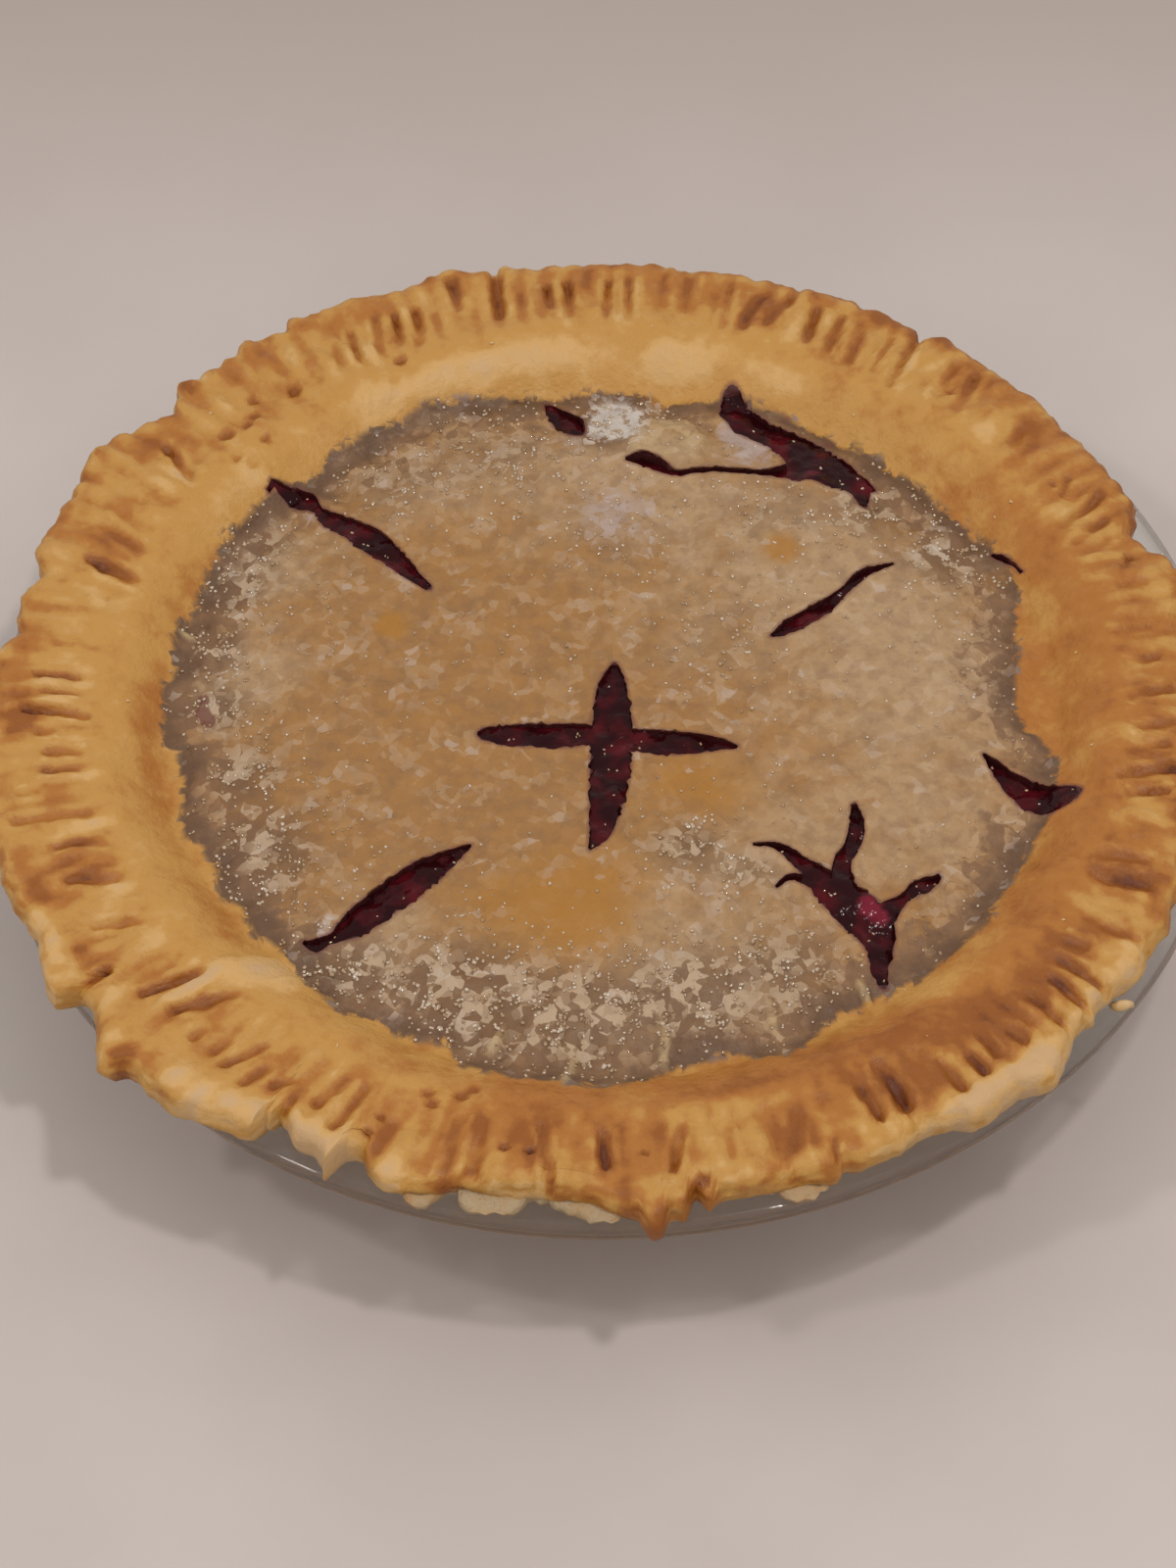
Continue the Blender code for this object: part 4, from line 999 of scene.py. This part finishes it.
def filling_core():
    """The body of the filling, a little clear of the crust all round."""
    lean = (2.0 * GAP + BOTTOM_CRUST) * math.tan(0.5 * WALL_ANGLE)
    floor_z = GLASS + 2.0 * GAP + BOTTOM_CRUST
    floor_r = FLOOR_RADIUS - lean
    edge_z = DISH_HEIGHT - 1.0
    edge_r = floor_r + (edge_z - floor_z) / math.tan(WALL_ANGLE)
    outline = [(r, lid_under(r) - 0.5) for r in CORE_RINGS]
    outline += [(edge_r, edge_z), (floor_r + 1.0, floor_z + 2.0), (floor_r - 3.0, floor_z), (0.0, floor_z)]
    core, _, _, points = wrapped_round("core", outline, CORE_STEPS)
    set_points(core, points)
    weld(core)
    return core


def make_filling():
    """The cherry filling: a core under the lid, and juicy lumps that stand up into each opening."""
    filling = juicy_plugs()
    boolean(filling, filling_core(), "UNION")
    weld(filling)
    fleshy = np.array([patch_sum(FLESH_PATCHES, x, y) for x, y, _ in get_points(filling)], dtype=np.float32)
    filling.data.attributes.new("fleshy", "FLOAT", "POINT").data.foreach_set("value", fleshy)
    smooth_shade(filling, 70.0)
    return filling


def rounded(corners):
    """A profile through (radius, height, fillet, pieces) corners. A fillet is an arc of so many pieces."""
    line = []
    for i, (r, z, fillet, pieces) in enumerate(corners):
        here = Vector((r, z))
        if pieces == 0:
            line.append((r, z))
            continue
        before = (Vector(corners[i - 1][:2]) - here).normalized()
        after = (Vector(corners[i + 1][:2]) - here).normalized()
        half = 0.5 * before.angle(after)
        middle = here + (before + after).normalized() * fillet / math.sin(half)
        start = here + before * fillet / math.tan(half) - middle
        end = here + after * fillet / math.tan(half) - middle
        sweep = start.angle_signed(end)
        for k in range(pieces + 1):
            turn = -sweep * k / pieces
            line.append((middle.x + start.x * math.cos(turn) - start.y * math.sin(turn),
                         middle.y + start.x * math.sin(turn) + start.y * math.cos(turn)))
    return line


def under_edge(theta, z):
    """The outer radius of the under-crust's ragged edge, at an angle and a height."""
    edge = rim_radius(theta) - 3.0 + 1.0 * ring_noise(theta, 9.0, 2.0)
    edge += 0.9 * ring_noise(theta, 30.0, 3.0) + 0.6 * ring_noise(theta, 64.0, 4.0)
    edge = front_radius(UNDER_FRONT_LINE, theta, edge + mark_sum(UNDER_LUMPS, math.degrees(theta)))
    edge += 0.8 * ring_noise(theta, 50.0, 7.0) + 0.8 * ring_noise(theta, 90.0, 8.0)
    return edge + 0.6 * noise.noise(Vector((26.0 * math.cos(theta), 26.0 * math.sin(theta), 0.8 * z)))


def make_under_crust():
    """The under-crust: it lines the dish and its paler edge pokes out from under the lid."""
    lean_out = GAP * math.tan(0.5 * WALL_ANGLE)
    lean_in = (GAP + BOTTOM_CRUST) * math.tan(0.5 * WALL_ANGLE)
    inner, outer = GLASS + GAP + BOTTOM_CRUST, GLASS + GAP
    ledge_in, ledge_out = DISH_HEIGHT + GAP + BOTTOM_CRUST, DISH_HEIGHT + GAP
    ledge = LIP_RADIUS + 4.0
    outline = rounded([
        (0.0, inner, 0.0, 0), (FLOOR_RADIUS - lean_in, inner, 6.0, 5),
        (LIP_RADIUS - lean_in, ledge_in, 4.0, 3), (RIM_RADIUS - 4.0, ledge_in, 0.0, 0),
        (RIM_RADIUS - 1.0, ledge_in - 0.2, 0.0, 0),
        (RIM_RADIUS, ledge_in - 1.1, 0.0, 0), (RIM_RADIUS - 0.2, ledge_out + 0.8, 0.0, 0),
        (RIM_RADIUS - 1.2, ledge_out, 0.0, 0), (LIP_RADIUS - lean_out, ledge_out, 2.4, 3),
        (96.0, 20.0, 0.0, 0), (FLOOR_RADIUS - lean_out, outer, 9.3, 6), (0.0, outer, 0.0, 0),
    ])
    crust, _, angle, points = wrapped_round("under_crust", outline, UNDER_STEPS)
    for i, (x, y, z) in enumerate(points):
        radius = math.hypot(x, y)
        if radius > ledge:
            reach = ledge + (radius - ledge) * (under_edge(angle[i], z) - ledge) / (RIM_RADIUS - ledge)
            points[i, :2] *= reach / radius
    set_points(crust, points)
    weld(crust)
    smooth_shade(crust, EDGE_SHADE)
    return crust


def make_dish():
    """The clear dish: flat foot, sloping wall, level flange with a rounded edge."""
    under = DISH_HEIGHT - GLASS
    lean = GLASS * math.tan(0.5 * WALL_ANGLE)
    outline = rounded([
        (0.0, GLASS, 0.0, 0), (FLOOR_RADIUS, GLASS, 9.0, 8), (LIP_RADIUS, DISH_HEIGHT, 3.0, 5),
        (DISH_RADIUS, DISH_HEIGHT, 1.9, 5), (DISH_RADIUS, under, 1.9, 5),
        (LIP_RADIUS + lean, under, 4.0, 5), (FLOOR_RADIUS + lean, 0.0, 6.0, 6), (0.0, 0.0, 0.0, 0),
    ])
    dish, _, _, points = wrapped_round("glass_dish", outline, DISH_STEPS)
    set_points(dish, points)
    weld(dish)
    smooth_shade(dish, EDGE_SHADE)
    return dish


def scatter(name, shape, places, turns, sizes):
    """One mesh of many copies of a small shape, each with its own place, turn and size in millimetres."""
    corners = np.array([tuple(v.co) for v in shape.data.vertices])
    faces = [tuple(p.vertices) for p in shape.data.polygons]
    points = []
    for place, turn, size in zip(places, turns, sizes):
        grown = corners * np.array(size)
        points.append(grown @ np.array(turn.to_matrix()).T + np.array(place))
    points = np.concatenate(points) * MM
    count = len(corners)
    indices = np.array([i for face in faces for i in face])
    starts = np.cumsum([0] + [len(face) for face in faces[:-1]])
    copies = len(places)
    mesh = bpy.data.meshes.new(name)
    mesh.vertices.add(len(points))
    mesh.vertices.foreach_set("co", points.ravel())
    all_indices = (indices[None, :] + count * np.arange(copies)[:, None]).ravel()
    mesh.loops.add(len(all_indices))
    mesh.loops.foreach_set("vertex_index", all_indices)
    all_starts = (starts[None, :] + len(indices) * np.arange(copies)[:, None]).ravel()
    mesh.polygons.add(len(all_starts))
    mesh.polygons.foreach_set("loop_start", all_starts)
    mesh.update(calc_edges=True)
    mesh.validate()
    obj = bpy.data.objects.new(name, mesh)
    bpy.context.scene.collection.objects.link(obj)
    bpy.data.objects.remove(shape)
    return obj


def grain_density(x, y):
    """How thickly loose sugar lies at a place, from 0 to 1."""
    radius = math.hypot(x, y)
    edge = sugar_edge(math.atan2(y, x))
    inside = 1.0 - smooth(edge - 1.5, edge + 1.0, radius)
    base = 0.035 + 0.05 * smooth(50.0, 80.0, radius) + 0.55 * patch_sum(SUGAR_PATCHES, x, y)
    clumps = 0.6 + 1.3 * bumps(x, y, 5.0, 51.0) + 0.9 * bumps(x, y, 2.2, 52.0)
    return inside * base * max(0.04, clumps)


def random_turn(draw):
    """A turn that faces any way."""
    way = Vector((draw.gauss(0.0, 1.0), draw.gauss(0.0, 1.0), draw.gauss(0.0, 1.0)))
    return way.to_track_quat("Z", "Y")


def make_sugar():
    """Coarse sugar crystals half sunk in the lid, thick near its edge and thin in the middle, and pale
    grains on the juice in the openings that also stand in for its glints, as painted highlights.
    """
    draw = random.Random(SUGAR_SEED)
    deselect_all()
    bpy.ops.mesh.primitive_cube_add(size=1.0)
    crystal = bpy.context.object
    for vert in crystal.data.vertices:
        vert.co *= 1.0 + 0.18 * noise.noise(vert.co * 3.0)
        vert.co.x += 0.16 * vert.co.z
    spots, turns, sizes = [], [], []
    while len(spots) < GRAINS:
        radius = SUGAR_RADIUS * math.sqrt(draw.random())
        theta = math.tau * draw.random()
        x, y = radius * math.cos(theta), radius * math.sin(theta)
        density = grain_density(x, y)
        if draw.random() > density:
            continue
        spots.append((x, y))
        turns.append(random_turn(draw))
        grown = draw.uniform(0.3, 0.55) + draw.uniform(0.0, 0.5) * min(1.0, density)
        sizes.append((grown, grown * draw.uniform(0.7, 1.1), grown * draw.uniform(0.6, 1.0)))
    clear = vent_distance(np.array([p[0] for p in spots]), np.array([p[1] for p in spots])) > 0.25
    kept = [i for i in range(len(spots)) if clear[i]]
    places = [(*spots[i], lid_top(*spots[i]) + draw.uniform(-0.05, 0.22) * sizes[i][2]) for i in kept]
    turns = [turns[i] for i in kept]
    sizes = [sizes[i] for i in kept]
    # Pale grains on the juice in the openings: sugar that also stands in for the juice's glints, as painted
    # highlights
    for _ in range(WET_GRAINS_AS_GLINTS):
        x, y, width = draw.choice(STROKE_SAMPLES)
        if width < 2.0:
            continue
        x += draw.uniform(-0.3, 0.3) * width
        y += draw.uniform(-0.3, 0.3) * width
        grown = draw.uniform(0.3, 0.6)
        places.append((x, y, juice_level(x, y) - 0.1 * grown))
        turns.append(random_turn(draw))
        sizes.append((grown, 0.8 * grown, 0.6 * grown))
    return scatter("sugar_crystals", crystal, places, turns, sizes)


def make_crumbs():
    """Pastry crumbs: a few on the glass flange, and some on the rim, whose pale specks also stand in for
    the rim's glints as painted highlights.
    """
    draw = random.Random(CRUMB_SEED)
    deselect_all()
    bpy.ops.mesh.primitive_ico_sphere_add(subdivisions=2, radius=0.5)
    crumb = bpy.context.object
    for vert in crumb.data.vertices:
        vert.co *= 1.0 + 0.5 * noise.noise(vert.co * 2.3 + Vector((3.0, 1.0, 2.0)))
    places = [FLANGE_CRUMB_PLACE]
    turns = [random_turn(draw)]
    sizes = [FLANGE_CRUMB_SIZE]
    # The specks on the rim are crumbs that also stand in for its few bright glints: painted highlights
    for _ in range(RIM_CRUMB_AND_GLINT_COUNT):
        theta = math.tau * draw.random()
        radius = draw.uniform(90.0, 117.0)
        x, y = radius * math.cos(theta), radius * math.sin(theta)
        size = draw.uniform(0.4, 0.9)
        places.append((x, y, lid_top(x, y) + 0.1 * size))
        turns.append(random_turn(draw))
        sizes.append((size, size * draw.uniform(0.6, 1.0), size * draw.uniform(0.4, 0.8)))
    return scatter("pastry_crumbs", crumb, places, turns, sizes)


class Shader:
    """A material being wired: short names for the few kinds of node that its recipes use."""

    def __init__(self, name):
        self.material = bpy.data.materials.new(name)
        self.material.use_nodes = True
        self.tree = self.material.node_tree
        self.main = self.tree.nodes["Principled BSDF"]
        self.place = self.tree.nodes.new("ShaderNodeTexCoord").outputs["Object"]

    def link(self, source, socket):
        self.tree.links.new(source, socket)

    def noise(self, size, detail=2.0, shift=(0.0, 0.0, 0.0), rough=0.5):
        """Noise with bumps about size millimetres wide, 0 to 1."""
        mapping = self.tree.nodes.new("ShaderNodeMapping")
        mapping.inputs["Location"].default_value = shift
        self.link(self.place, mapping.inputs["Vector"])
        texture = self.tree.nodes.new("ShaderNodeTexNoise")
        texture.inputs["Scale"].default_value = 1.0 / (size * MM)
        texture.inputs["Detail"].default_value = detail
        texture.inputs["Roughness"].default_value = rough
        self.link(mapping.outputs["Vector"], texture.inputs["Vector"])
        return texture.outputs["Fac"]

    def lumps(self, size):
        """Angular lumps about size millimetres wide, each with its own even value from 0 to 1."""
        wander = self.tree.nodes.new("ShaderNodeTexNoise")
        wander.inputs["Scale"].default_value = 0.6 / (size * MM)
        wander.inputs["Detail"].default_value = 2.0
        self.link(self.place, wander.inputs["Vector"])
        push = self.tree.nodes.new("ShaderNodeVectorMath")
        push.operation = "MULTIPLY_ADD"
        push.inputs[1].default_value = (size * MM,) * 3
        self.link(wander.outputs["Color"], push.inputs[0])
        self.link(self.place, push.inputs[2])
        texture = self.tree.nodes.new("ShaderNodeTexVoronoi")
        texture.inputs["Scale"].default_value = 1.0 / (size * MM)
        self.link(push.outputs["Vector"], texture.inputs["Vector"])
        parts = self.tree.nodes.new("ShaderNodeSeparateColor")
        self.link(texture.outputs["Color"], parts.inputs["Color"])
        return parts.outputs["Red"]

    def axis(self, name):
        """One coordinate of the place, in metres: X, Y or Z."""
        parts = self.tree.nodes.new("ShaderNodeSeparateXYZ")
        self.link(self.place, parts.inputs["Vector"])
        return parts.outputs[name]

    def painted(self, name):
        """A finish written on the piece's points."""
        node = self.tree.nodes.new("ShaderNodeAttribute")
        node.attribute_name = name
        return node.outputs["Fac"]

    def ramp(self, value, low, high, out_low=0.0, out_high=1.0):
        """A value stretched from one range to another along an S-curve, and held at its ends."""
        node = self.tree.nodes.new("ShaderNodeMapRange")
        node.interpolation_type = "SMOOTHSTEP"
        node.inputs["From Min"].default_value = low
        node.inputs["From Max"].default_value = high
        node.inputs["To Min"].default_value = out_low
        node.inputs["To Max"].default_value = out_high
        self.link(value, node.inputs["Value"])
        return node.outputs["Result"]

    def math(self, kind, a, b):
        """A sum, product or the like of two values. Each is a number or a socket."""
        node = self.tree.nodes.new("ShaderNodeMath")
        node.operation = kind
        for socket, value in zip(node.inputs, (a, b)):
            if isinstance(value, (int, float)):
                socket.default_value = value
            else:
                self.link(value, socket)
        return node.outputs[0]

    def swayed(self, value, texture, amount):
        """A value pushed up and down by a texture of 0 to 1, by half the amount each way."""
        return self.math("ADD", value, self.math("MULTIPLY", self.math("SUBTRACT", texture, 0.5), amount))

    def mix(self, share, first, second):
        """Two colours mixed by a share. Each is a colour or a socket."""
        node = self.tree.nodes.new("ShaderNodeMix")
        node.data_type = "RGBA"
        sockets = [s for s in node.inputs if s.enabled]
        for socket, value in zip(sockets, (share, first, second)):
            if isinstance(value, (tuple, float, int)):
                socket.default_value = value
            else:
                self.link(value, socket)
        return [s for s in node.outputs if s.enabled][0]

    def bump(self, height, depth, strength=1.0, under=None):
        """A bump whose height of 1 stands depth millimetres high."""
        node = self.tree.nodes.new("ShaderNodeBump")
        node.inputs["Distance"].default_value = depth * MM
        node.inputs["Strength"].default_value = strength
        self.link(height, node.inputs["Height"])
        if under is not None:
            self.link(under, node.inputs["Normal"])
        return node.outputs["Normal"]


# The colours, each as display values from 0 to 255
BLONDE = tint(184, 149, 107)
PALE_GOLD = tint(190, 149, 92)
GOLD = tint(176, 129, 63)
ORANGE = tint(158, 100, 39)
BROWN = tint(134, 76, 22)
DEEP_BROWN = tint(92, 42, 10)
SUGARED_TAN = tint(146, 104, 56)
SUGARED_BEIGE = tint(162, 132, 98)
SUGARED_TAUPE = tint(112, 82, 58)
SUGARED_DARK = tint(84, 60, 42)
SUGARED_PALE = tint(192, 168, 140)
HEAPED_SUGAR = tint(98, 71, 50)
GILDED = tint(154, 104, 34)
CREAM = tint(172, 146, 108)
LILAC = tint(160, 142, 136)
SUGAR_CRUST = tint(190, 182, 175)
JUICE_STAIN = tint(98, 52, 44)
JUICE_DARK = tint(58, 12, 18)
UNDER_PALE = tint(158, 136, 104)
UNDER_GOLD = tint(160, 124, 80)
# Painted light: the under-crust's wall colours, browned and also brightened against the shade behind the
# glass
LIT_WALL_GOLD = tint(214, 160, 92)
LIT_WALL_BROWN = tint(186, 118, 54)
SUGAR_WARM = tint(158, 128, 94)
SUGAR_WHITE = tint(198, 180, 160)
CHERRY_DARK = tint(36, 5, 8)
CHERRY_RED = tint(82, 14, 22)
CHERRY_FLESH = tint(112, 30, 46)
CRUMB = tint(206, 182, 140)
GLASS_TINT = tint(226, 232, 228)
FLOOR_GREY = tint(179, 169, 164)
FLOOR_WARM = tint(185, 175, 171)
# Painted shade: the floor's colour towards the back, darker where less lamp light reaches
FLOOR_FALLOFF_SHADE = tint(158, 144, 136)


def rim_colour(s, clouds):
    """The rim: blonde to deep brown, by how much it is baked, with painted shade in the fork marks and pits
    and painted highlights on the ridges beside the marks.
    """
    baked = s.swayed(s.swayed(s.painted("baked"), s.noise(2.2, 4.0, rough=0.6), 0.55), clouds, 0.75)
    colour = s.mix(s.ramp(baked, -0.75, -0.25), BLONDE, PALE_GOLD)
    colour = s.mix(s.ramp(baked, -0.3, 0.12), colour, GOLD)
    colour = s.mix(s.ramp(baked, 0.15, 0.6), colour, ORANGE)
    colour = s.mix(s.ramp(baked, 0.55, 1.0), colour, BROWN)
    return s.mix(s.ramp(baked, 1.1, 1.7), colour, DEEP_BROWN)


def sugared_colour(s, clouds, blotches, lumps):
    """The sugared middle: tan lumps with painted shade in the gaps between them, a darker border, and
    patches of gold, cream, lilac and white, one wide lilac-grey patch being a painted sheen.
    """
    hazed = s.swayed(s.painted("hazed"), clouds, 1.3)
    colour = s.mix(s.ramp(hazed, 0.0, 0.9), SUGARED_TAN, SUGARED_BEIGE)
    colour = s.mix(s.ramp(blotches, 0.58, 0.36, 0.0, 0.3), colour, SUGARED_TAUPE)
    colour = s.mix(s.ramp(lumps, 0.45, 0.9, 0.0, 0.2), colour, SUGARED_PALE)
    colour = s.mix(s.ramp(lumps, 0.45, 0.1, 0.0, 0.12), colour, SUGARED_TAUPE)
    # Painted shade: darker taupe in the gaps between the sugar lumps
    colour = s.mix(s.ramp(s.painted("lumpy"), 0.6, 0.1, 0.0, 0.2), colour, SUGARED_TAUPE)
    heaped = s.ramp(s.swayed(s.painted("heaped"), clouds, 0.8), 0.1, 0.9)
    colour = s.mix(s.math("MULTIPLY", heaped, 0.76), colour, HEAPED_SUGAR)
    colour = s.mix(s.math("MULTIPLY", heaped, s.ramp(lumps, 0.44, 0.72, 0.0, 0.62)), colour, SUGARED_PALE)
    inward = s.swayed(s.swayed(s.painted("sugared"), lumps, 1.5), blotches, 1.0)
    colour = s.mix(s.ramp(inward, 1.9, 0.9, 0.0, 0.85), colour, SUGARED_TAUPE)
    edging = s.swayed(s.painted("sugared"), clouds, 2.6)
    colour = s.mix(s.ramp(edging, 1.3, 0.5, 0.0, 0.72), colour, SUGARED_DARK)
    gilded = s.swayed(s.swayed(s.painted("gilded"), clouds, 1.2), blotches, 0.6)
    colour = s.mix(s.ramp(gilded, 0.0, 1.3, 0.0, 0.8), colour, GILDED)
    creamy = s.math("MULTIPLY", s.painted("creamy"), s.ramp(lumps, 0.2, 0.7, 0.3, 0.8))
    colour = s.mix(creamy, colour, CREAM)
    # Lilac where juice soaked into the sugar, and one wide lilac-grey patch near the back middle that is a
    # painted sheen
    lilac = s.swayed(s.painted("lilac"), lumps, 1.0)
    colour = s.mix(s.ramp(lilac, 0.25, 1.1, 0.0, 0.8), colour, LILAC)
    whitened = s.swayed(s.painted("whitened"), lumps, 1.4)
    return s.mix(s.ramp(whitened, 0.4, 1.3, 0.0, 0.8), colour, SUGAR_CRUST)


def stained_colour(s, colour, blotches):
    """A colour with juice over it: dried brown spots, and the dark wet edges of the openings."""
    browned = s.swayed(s.painted("browned"), blotches, 0.8)
    colour = s.mix(s.ramp(browned, 0.3, 0.6, 0.0, 0.8), colour, JUICE_STAIN)
    spread = s.swayed(s.painted("stained"), s.noise(1.8, 4.0, rough=0.7), 0.3)
    colour = s.mix(s.ramp(spread, 0.8, 1.0, 0.0, 0.6), colour, JUICE_STAIN)
    return s.mix(s.ramp(spread, 1.0, 1.06, 0.0, 0.95), colour, JUICE_DARK)


def pastry_look():
    """Baked pastry: pale gold to brown on the rim, and a sugared, juice-stained middle."""
    s = Shader("baked_pastry")
    clouds = s.noise(7.0, 4.0, shift=(0.4, 0.2, 0.0), rough=0.55)
    blotches = s.noise(3.2, 4.0, shift=(0.3, 0.1, 0.0), rough=0.6)
    lumps = s.math("ADD", s.math("MULTIPLY", s.lumps(3.6), 0.55), s.math("MULTIPLY", s.lumps(1.9), 0.45))
    border = s.swayed(s.painted("sugared"), lumps, 0.35)
    rim = rim_colour(s, clouds)
    middle = sugared_colour(s, clouds, blotches, lumps)
    colour = s.mix(s.ramp(border, 0.4, 0.62), rim, middle)
    s.link(stained_colour(s, colour, blotches), s.main.inputs["Base Color"])
    s.main.inputs["Specular IOR Level"].default_value = 0.28
    s.link(s.ramp(s.noise(4.0, 3.0), 0.3, 0.7, 0.36, 0.56), s.main.inputs["Roughness"])
    crumbly = s.bump(s.noise(1.4, 4.0, shift=(0.1, 0.6, 0.0), rough=0.6), 0.26)
    s.link(s.bump(blotches, 0.45, under=crumbly), s.main.inputs["Normal"])
    return s.material


def under_look():
    """The under-crust: paler and drier than the lid at its edge, and golden brown against the glass, where
    it browned and where its colour is also painted brighter against the shade behind the glass.
    """
    s = Shader("under_pastry")
    colour = s.mix(s.ramp(s.noise(9.0, 4.0, rough=0.6), 0.35, 0.65), UNDER_GOLD, UNDER_PALE)
    # Painted light: the wall below the flange is golden brown from baking, and painted brighter than its
    # own colour against the shade behind the glass
    patchy = s.ramp(s.noise(12.0, 4.0, shift=(0.2, 0.5, 0.1), rough=0.6), 0.35, 0.65)
    wall = s.mix(patchy, LIT_WALL_GOLD, LIT_WALL_BROWN)
    colour = s.mix(s.ramp(s.axis("Z"), 39.0 * MM, 35.0 * MM), colour, wall)
    s.link(colour, s.main.inputs["Base Color"])
    s.main.inputs["Roughness"].default_value = 0.62
    fine = s.bump(s.noise(1.6, 4.0, rough=0.65), 0.4)
    coarse = s.noise(3.4, 3.0, shift=(0.3, 0.3, 0.3), rough=0.6)
    s.link(s.bump(coarse, 1.1, under=fine), s.main.inputs["Normal"])
    return s.material


def filling_look():
    """Dark cherries under glossy thickened juice."""
    s = Shader("cherry_juice")
    colour = s.mix(s.ramp(s.noise(6.0, 3.0, rough=0.5), 0.42, 0.78), CHERRY_DARK, CHERRY_RED)
    fleshy = s.swayed(s.painted("fleshy"), s.noise(2.0, 3.0), 0.8)
    colour = s.mix(s.ramp(fleshy, 0.3, 0.9, 0.0, 0.9), colour, CHERRY_FLESH)
    s.link(colour, s.main.inputs["Base Color"])
    s.main.inputs["Roughness"].default_value = 0.15
    s.main.inputs["Specular IOR Level"].default_value = 0.1
    wet = s.bump(s.noise(0.9, 1.0), 0.06)
    s.link(s.bump(s.noise(1.9, 2.0), 0.32, under=wet), s.main.inputs["Normal"])
    return s.material


def sugar_look():
    """Coarse sugar, half clear, with the warmth of the crust showing through."""
    s = Shader("coarse_sugar")
    colour = s.mix(s.ramp(s.noise(3.0, 2.0), 0.4, 0.65), SUGAR_WARM, SUGAR_WHITE)
    s.link(colour, s.main.inputs["Base Color"])
    s.main.inputs["Roughness"].default_value = 0.1
    s.main.inputs["Coat Weight"].default_value = 0.6
    s.main.inputs["Coat Roughness"].default_value = 0.05
    return s.material


def glass_look():
    """Clear pressed glass with a faint grey-green tint."""
    s = Shader("clear_dish_glass")
    s.main.inputs["Base Color"].default_value = GLASS_TINT
    s.main.inputs["Transmission Weight"].default_value = 1.0
    s.main.inputs["Roughness"].default_value = 0.03
    s.main.inputs["IOR"].default_value = 1.48
    s.main.inputs["Alpha"].default_value = 0.45
    s.link(s.bump(s.noise(18.0, 1.0), 0.12, 0.5), s.main.inputs["Normal"])
    return s.material


def crumb_look():
    """Dry crumbs of pale to golden pastry."""
    s = Shader("dry_crumb")
    s.link(s.mix(s.noise(2.0, 2.0), CRUMB, GOLD), s.main.inputs["Base Color"])
    s.main.inputs["Roughness"].default_value = 0.7
    return s.material


def floor_look():
    """A plain pale floor with hardly any variation, and painted shade of the lamps' falloff that darkens it
    towards the back.
    """
    s = Shader("pale_floor")
    colour = s.mix(s.ramp(s.noise(70.0, 4.0), 0.3, 0.7), FLOOR_GREY, FLOOR_WARM)
    # Painted shade: the floor darkens towards the back, where less lamp light falls
    colour = s.mix(s.ramp(s.axis("Y"), 0.1, 0.3), colour, FLOOR_FALLOFF_SHADE)
    s.link(colour, s.main.inputs["Base Color"])
    s.main.inputs["Roughness"].default_value = 0.6
    return s.material


def make_floor():
    """The floor, which is the stage and no part of the pie."""
    deselect_all()
    bpy.ops.mesh.primitive_plane_add(size=FLOOR_SIZE)
    floor = bpy.context.object
    floor.name = "floor"
    dress(floor, floor_look())


def make_camera():
    """The camera, from its place, its tilt down and its small roll."""
    forward = Vector((0.0, math.cos(CAMERA_ELEVATION), -math.sin(CAMERA_ELEVATION)))
    level = Vector((1.0, 0.0, 0.0))
    above = level.cross(forward)
    side = math.cos(CAMERA_ROLL) * level + math.sin(CAMERA_ROLL) * above
    up = -math.sin(CAMERA_ROLL) * level + math.cos(CAMERA_ROLL) * above
    data = bpy.data.cameras.new("camera")
    data.lens = CAMERA_LENS
    data.sensor_width = SENSOR
    data.clip_start = 0.01
    camera = bpy.data.objects.new("camera", data)
    bpy.context.scene.collection.objects.link(camera)
    turn = Matrix((side, up, -forward)).transposed().to_4x4()
    camera.matrix_world = Matrix.Translation(CAMERA_PLACE) @ turn
    bpy.context.scene.camera = camera


def make_light(name, place, size, power, colour):
    """A round lamp at a place, turned towards the pie."""
    data = bpy.data.lights.new(name, "AREA")
    data.shape = "DISK"
    data.size = size
    data.energy = power
    data.color = colour
    light = bpy.data.objects.new(name, data)
    bpy.context.scene.collection.objects.link(light)
    light.location = place
    light.rotation_euler = (Vector(LAMP_AIM) - Vector(place)).to_track_quat("-Z", "Y").to_euler()


def make_lights():
    """A soft lamp nearly overhead at the right, a weaker one at the left, and an even fill all round."""
    make_light("key", KEY_PLACE, 0.09, 4.6, KEY_COLOUR)
    make_light("second", SECOND_PLACE, 0.11, 2.6, SECOND_COLOUR)
    world = bpy.data.worlds.new("studio")
    bpy.context.scene.world = world
    world.use_nodes = True
    background = world.node_tree.nodes["Background"]
    background.inputs["Color"].default_value = FILL_COLOUR
    background.inputs["Strength"].default_value = FILL_STRENGTH
    bpy.context.scene.view_settings.view_transform = "Standard"


def main():
    deselect_all()
    make_camera()
    make_lights()
    make_floor()
    pieces = [
        (make_lid(), pastry_look(), "crust_top", "golden_pastry"),
        (make_filling(), filling_look(), "filling", "cherry_filling"),
        (make_under_crust(), under_look(), "crust_bottom", "pale_pastry"),
        (make_dish(), glass_look(), "dish", "clear_glass"),
        (make_sugar(), sugar_look(), None, "golden_pastry"),
        (make_crumbs(), crumb_look(), None, "golden_pastry"),
    ]
    for piece, look, node, slot in pieces:
        dress(piece, look)
        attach(piece, "root")
        if node:
            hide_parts(node)


main()
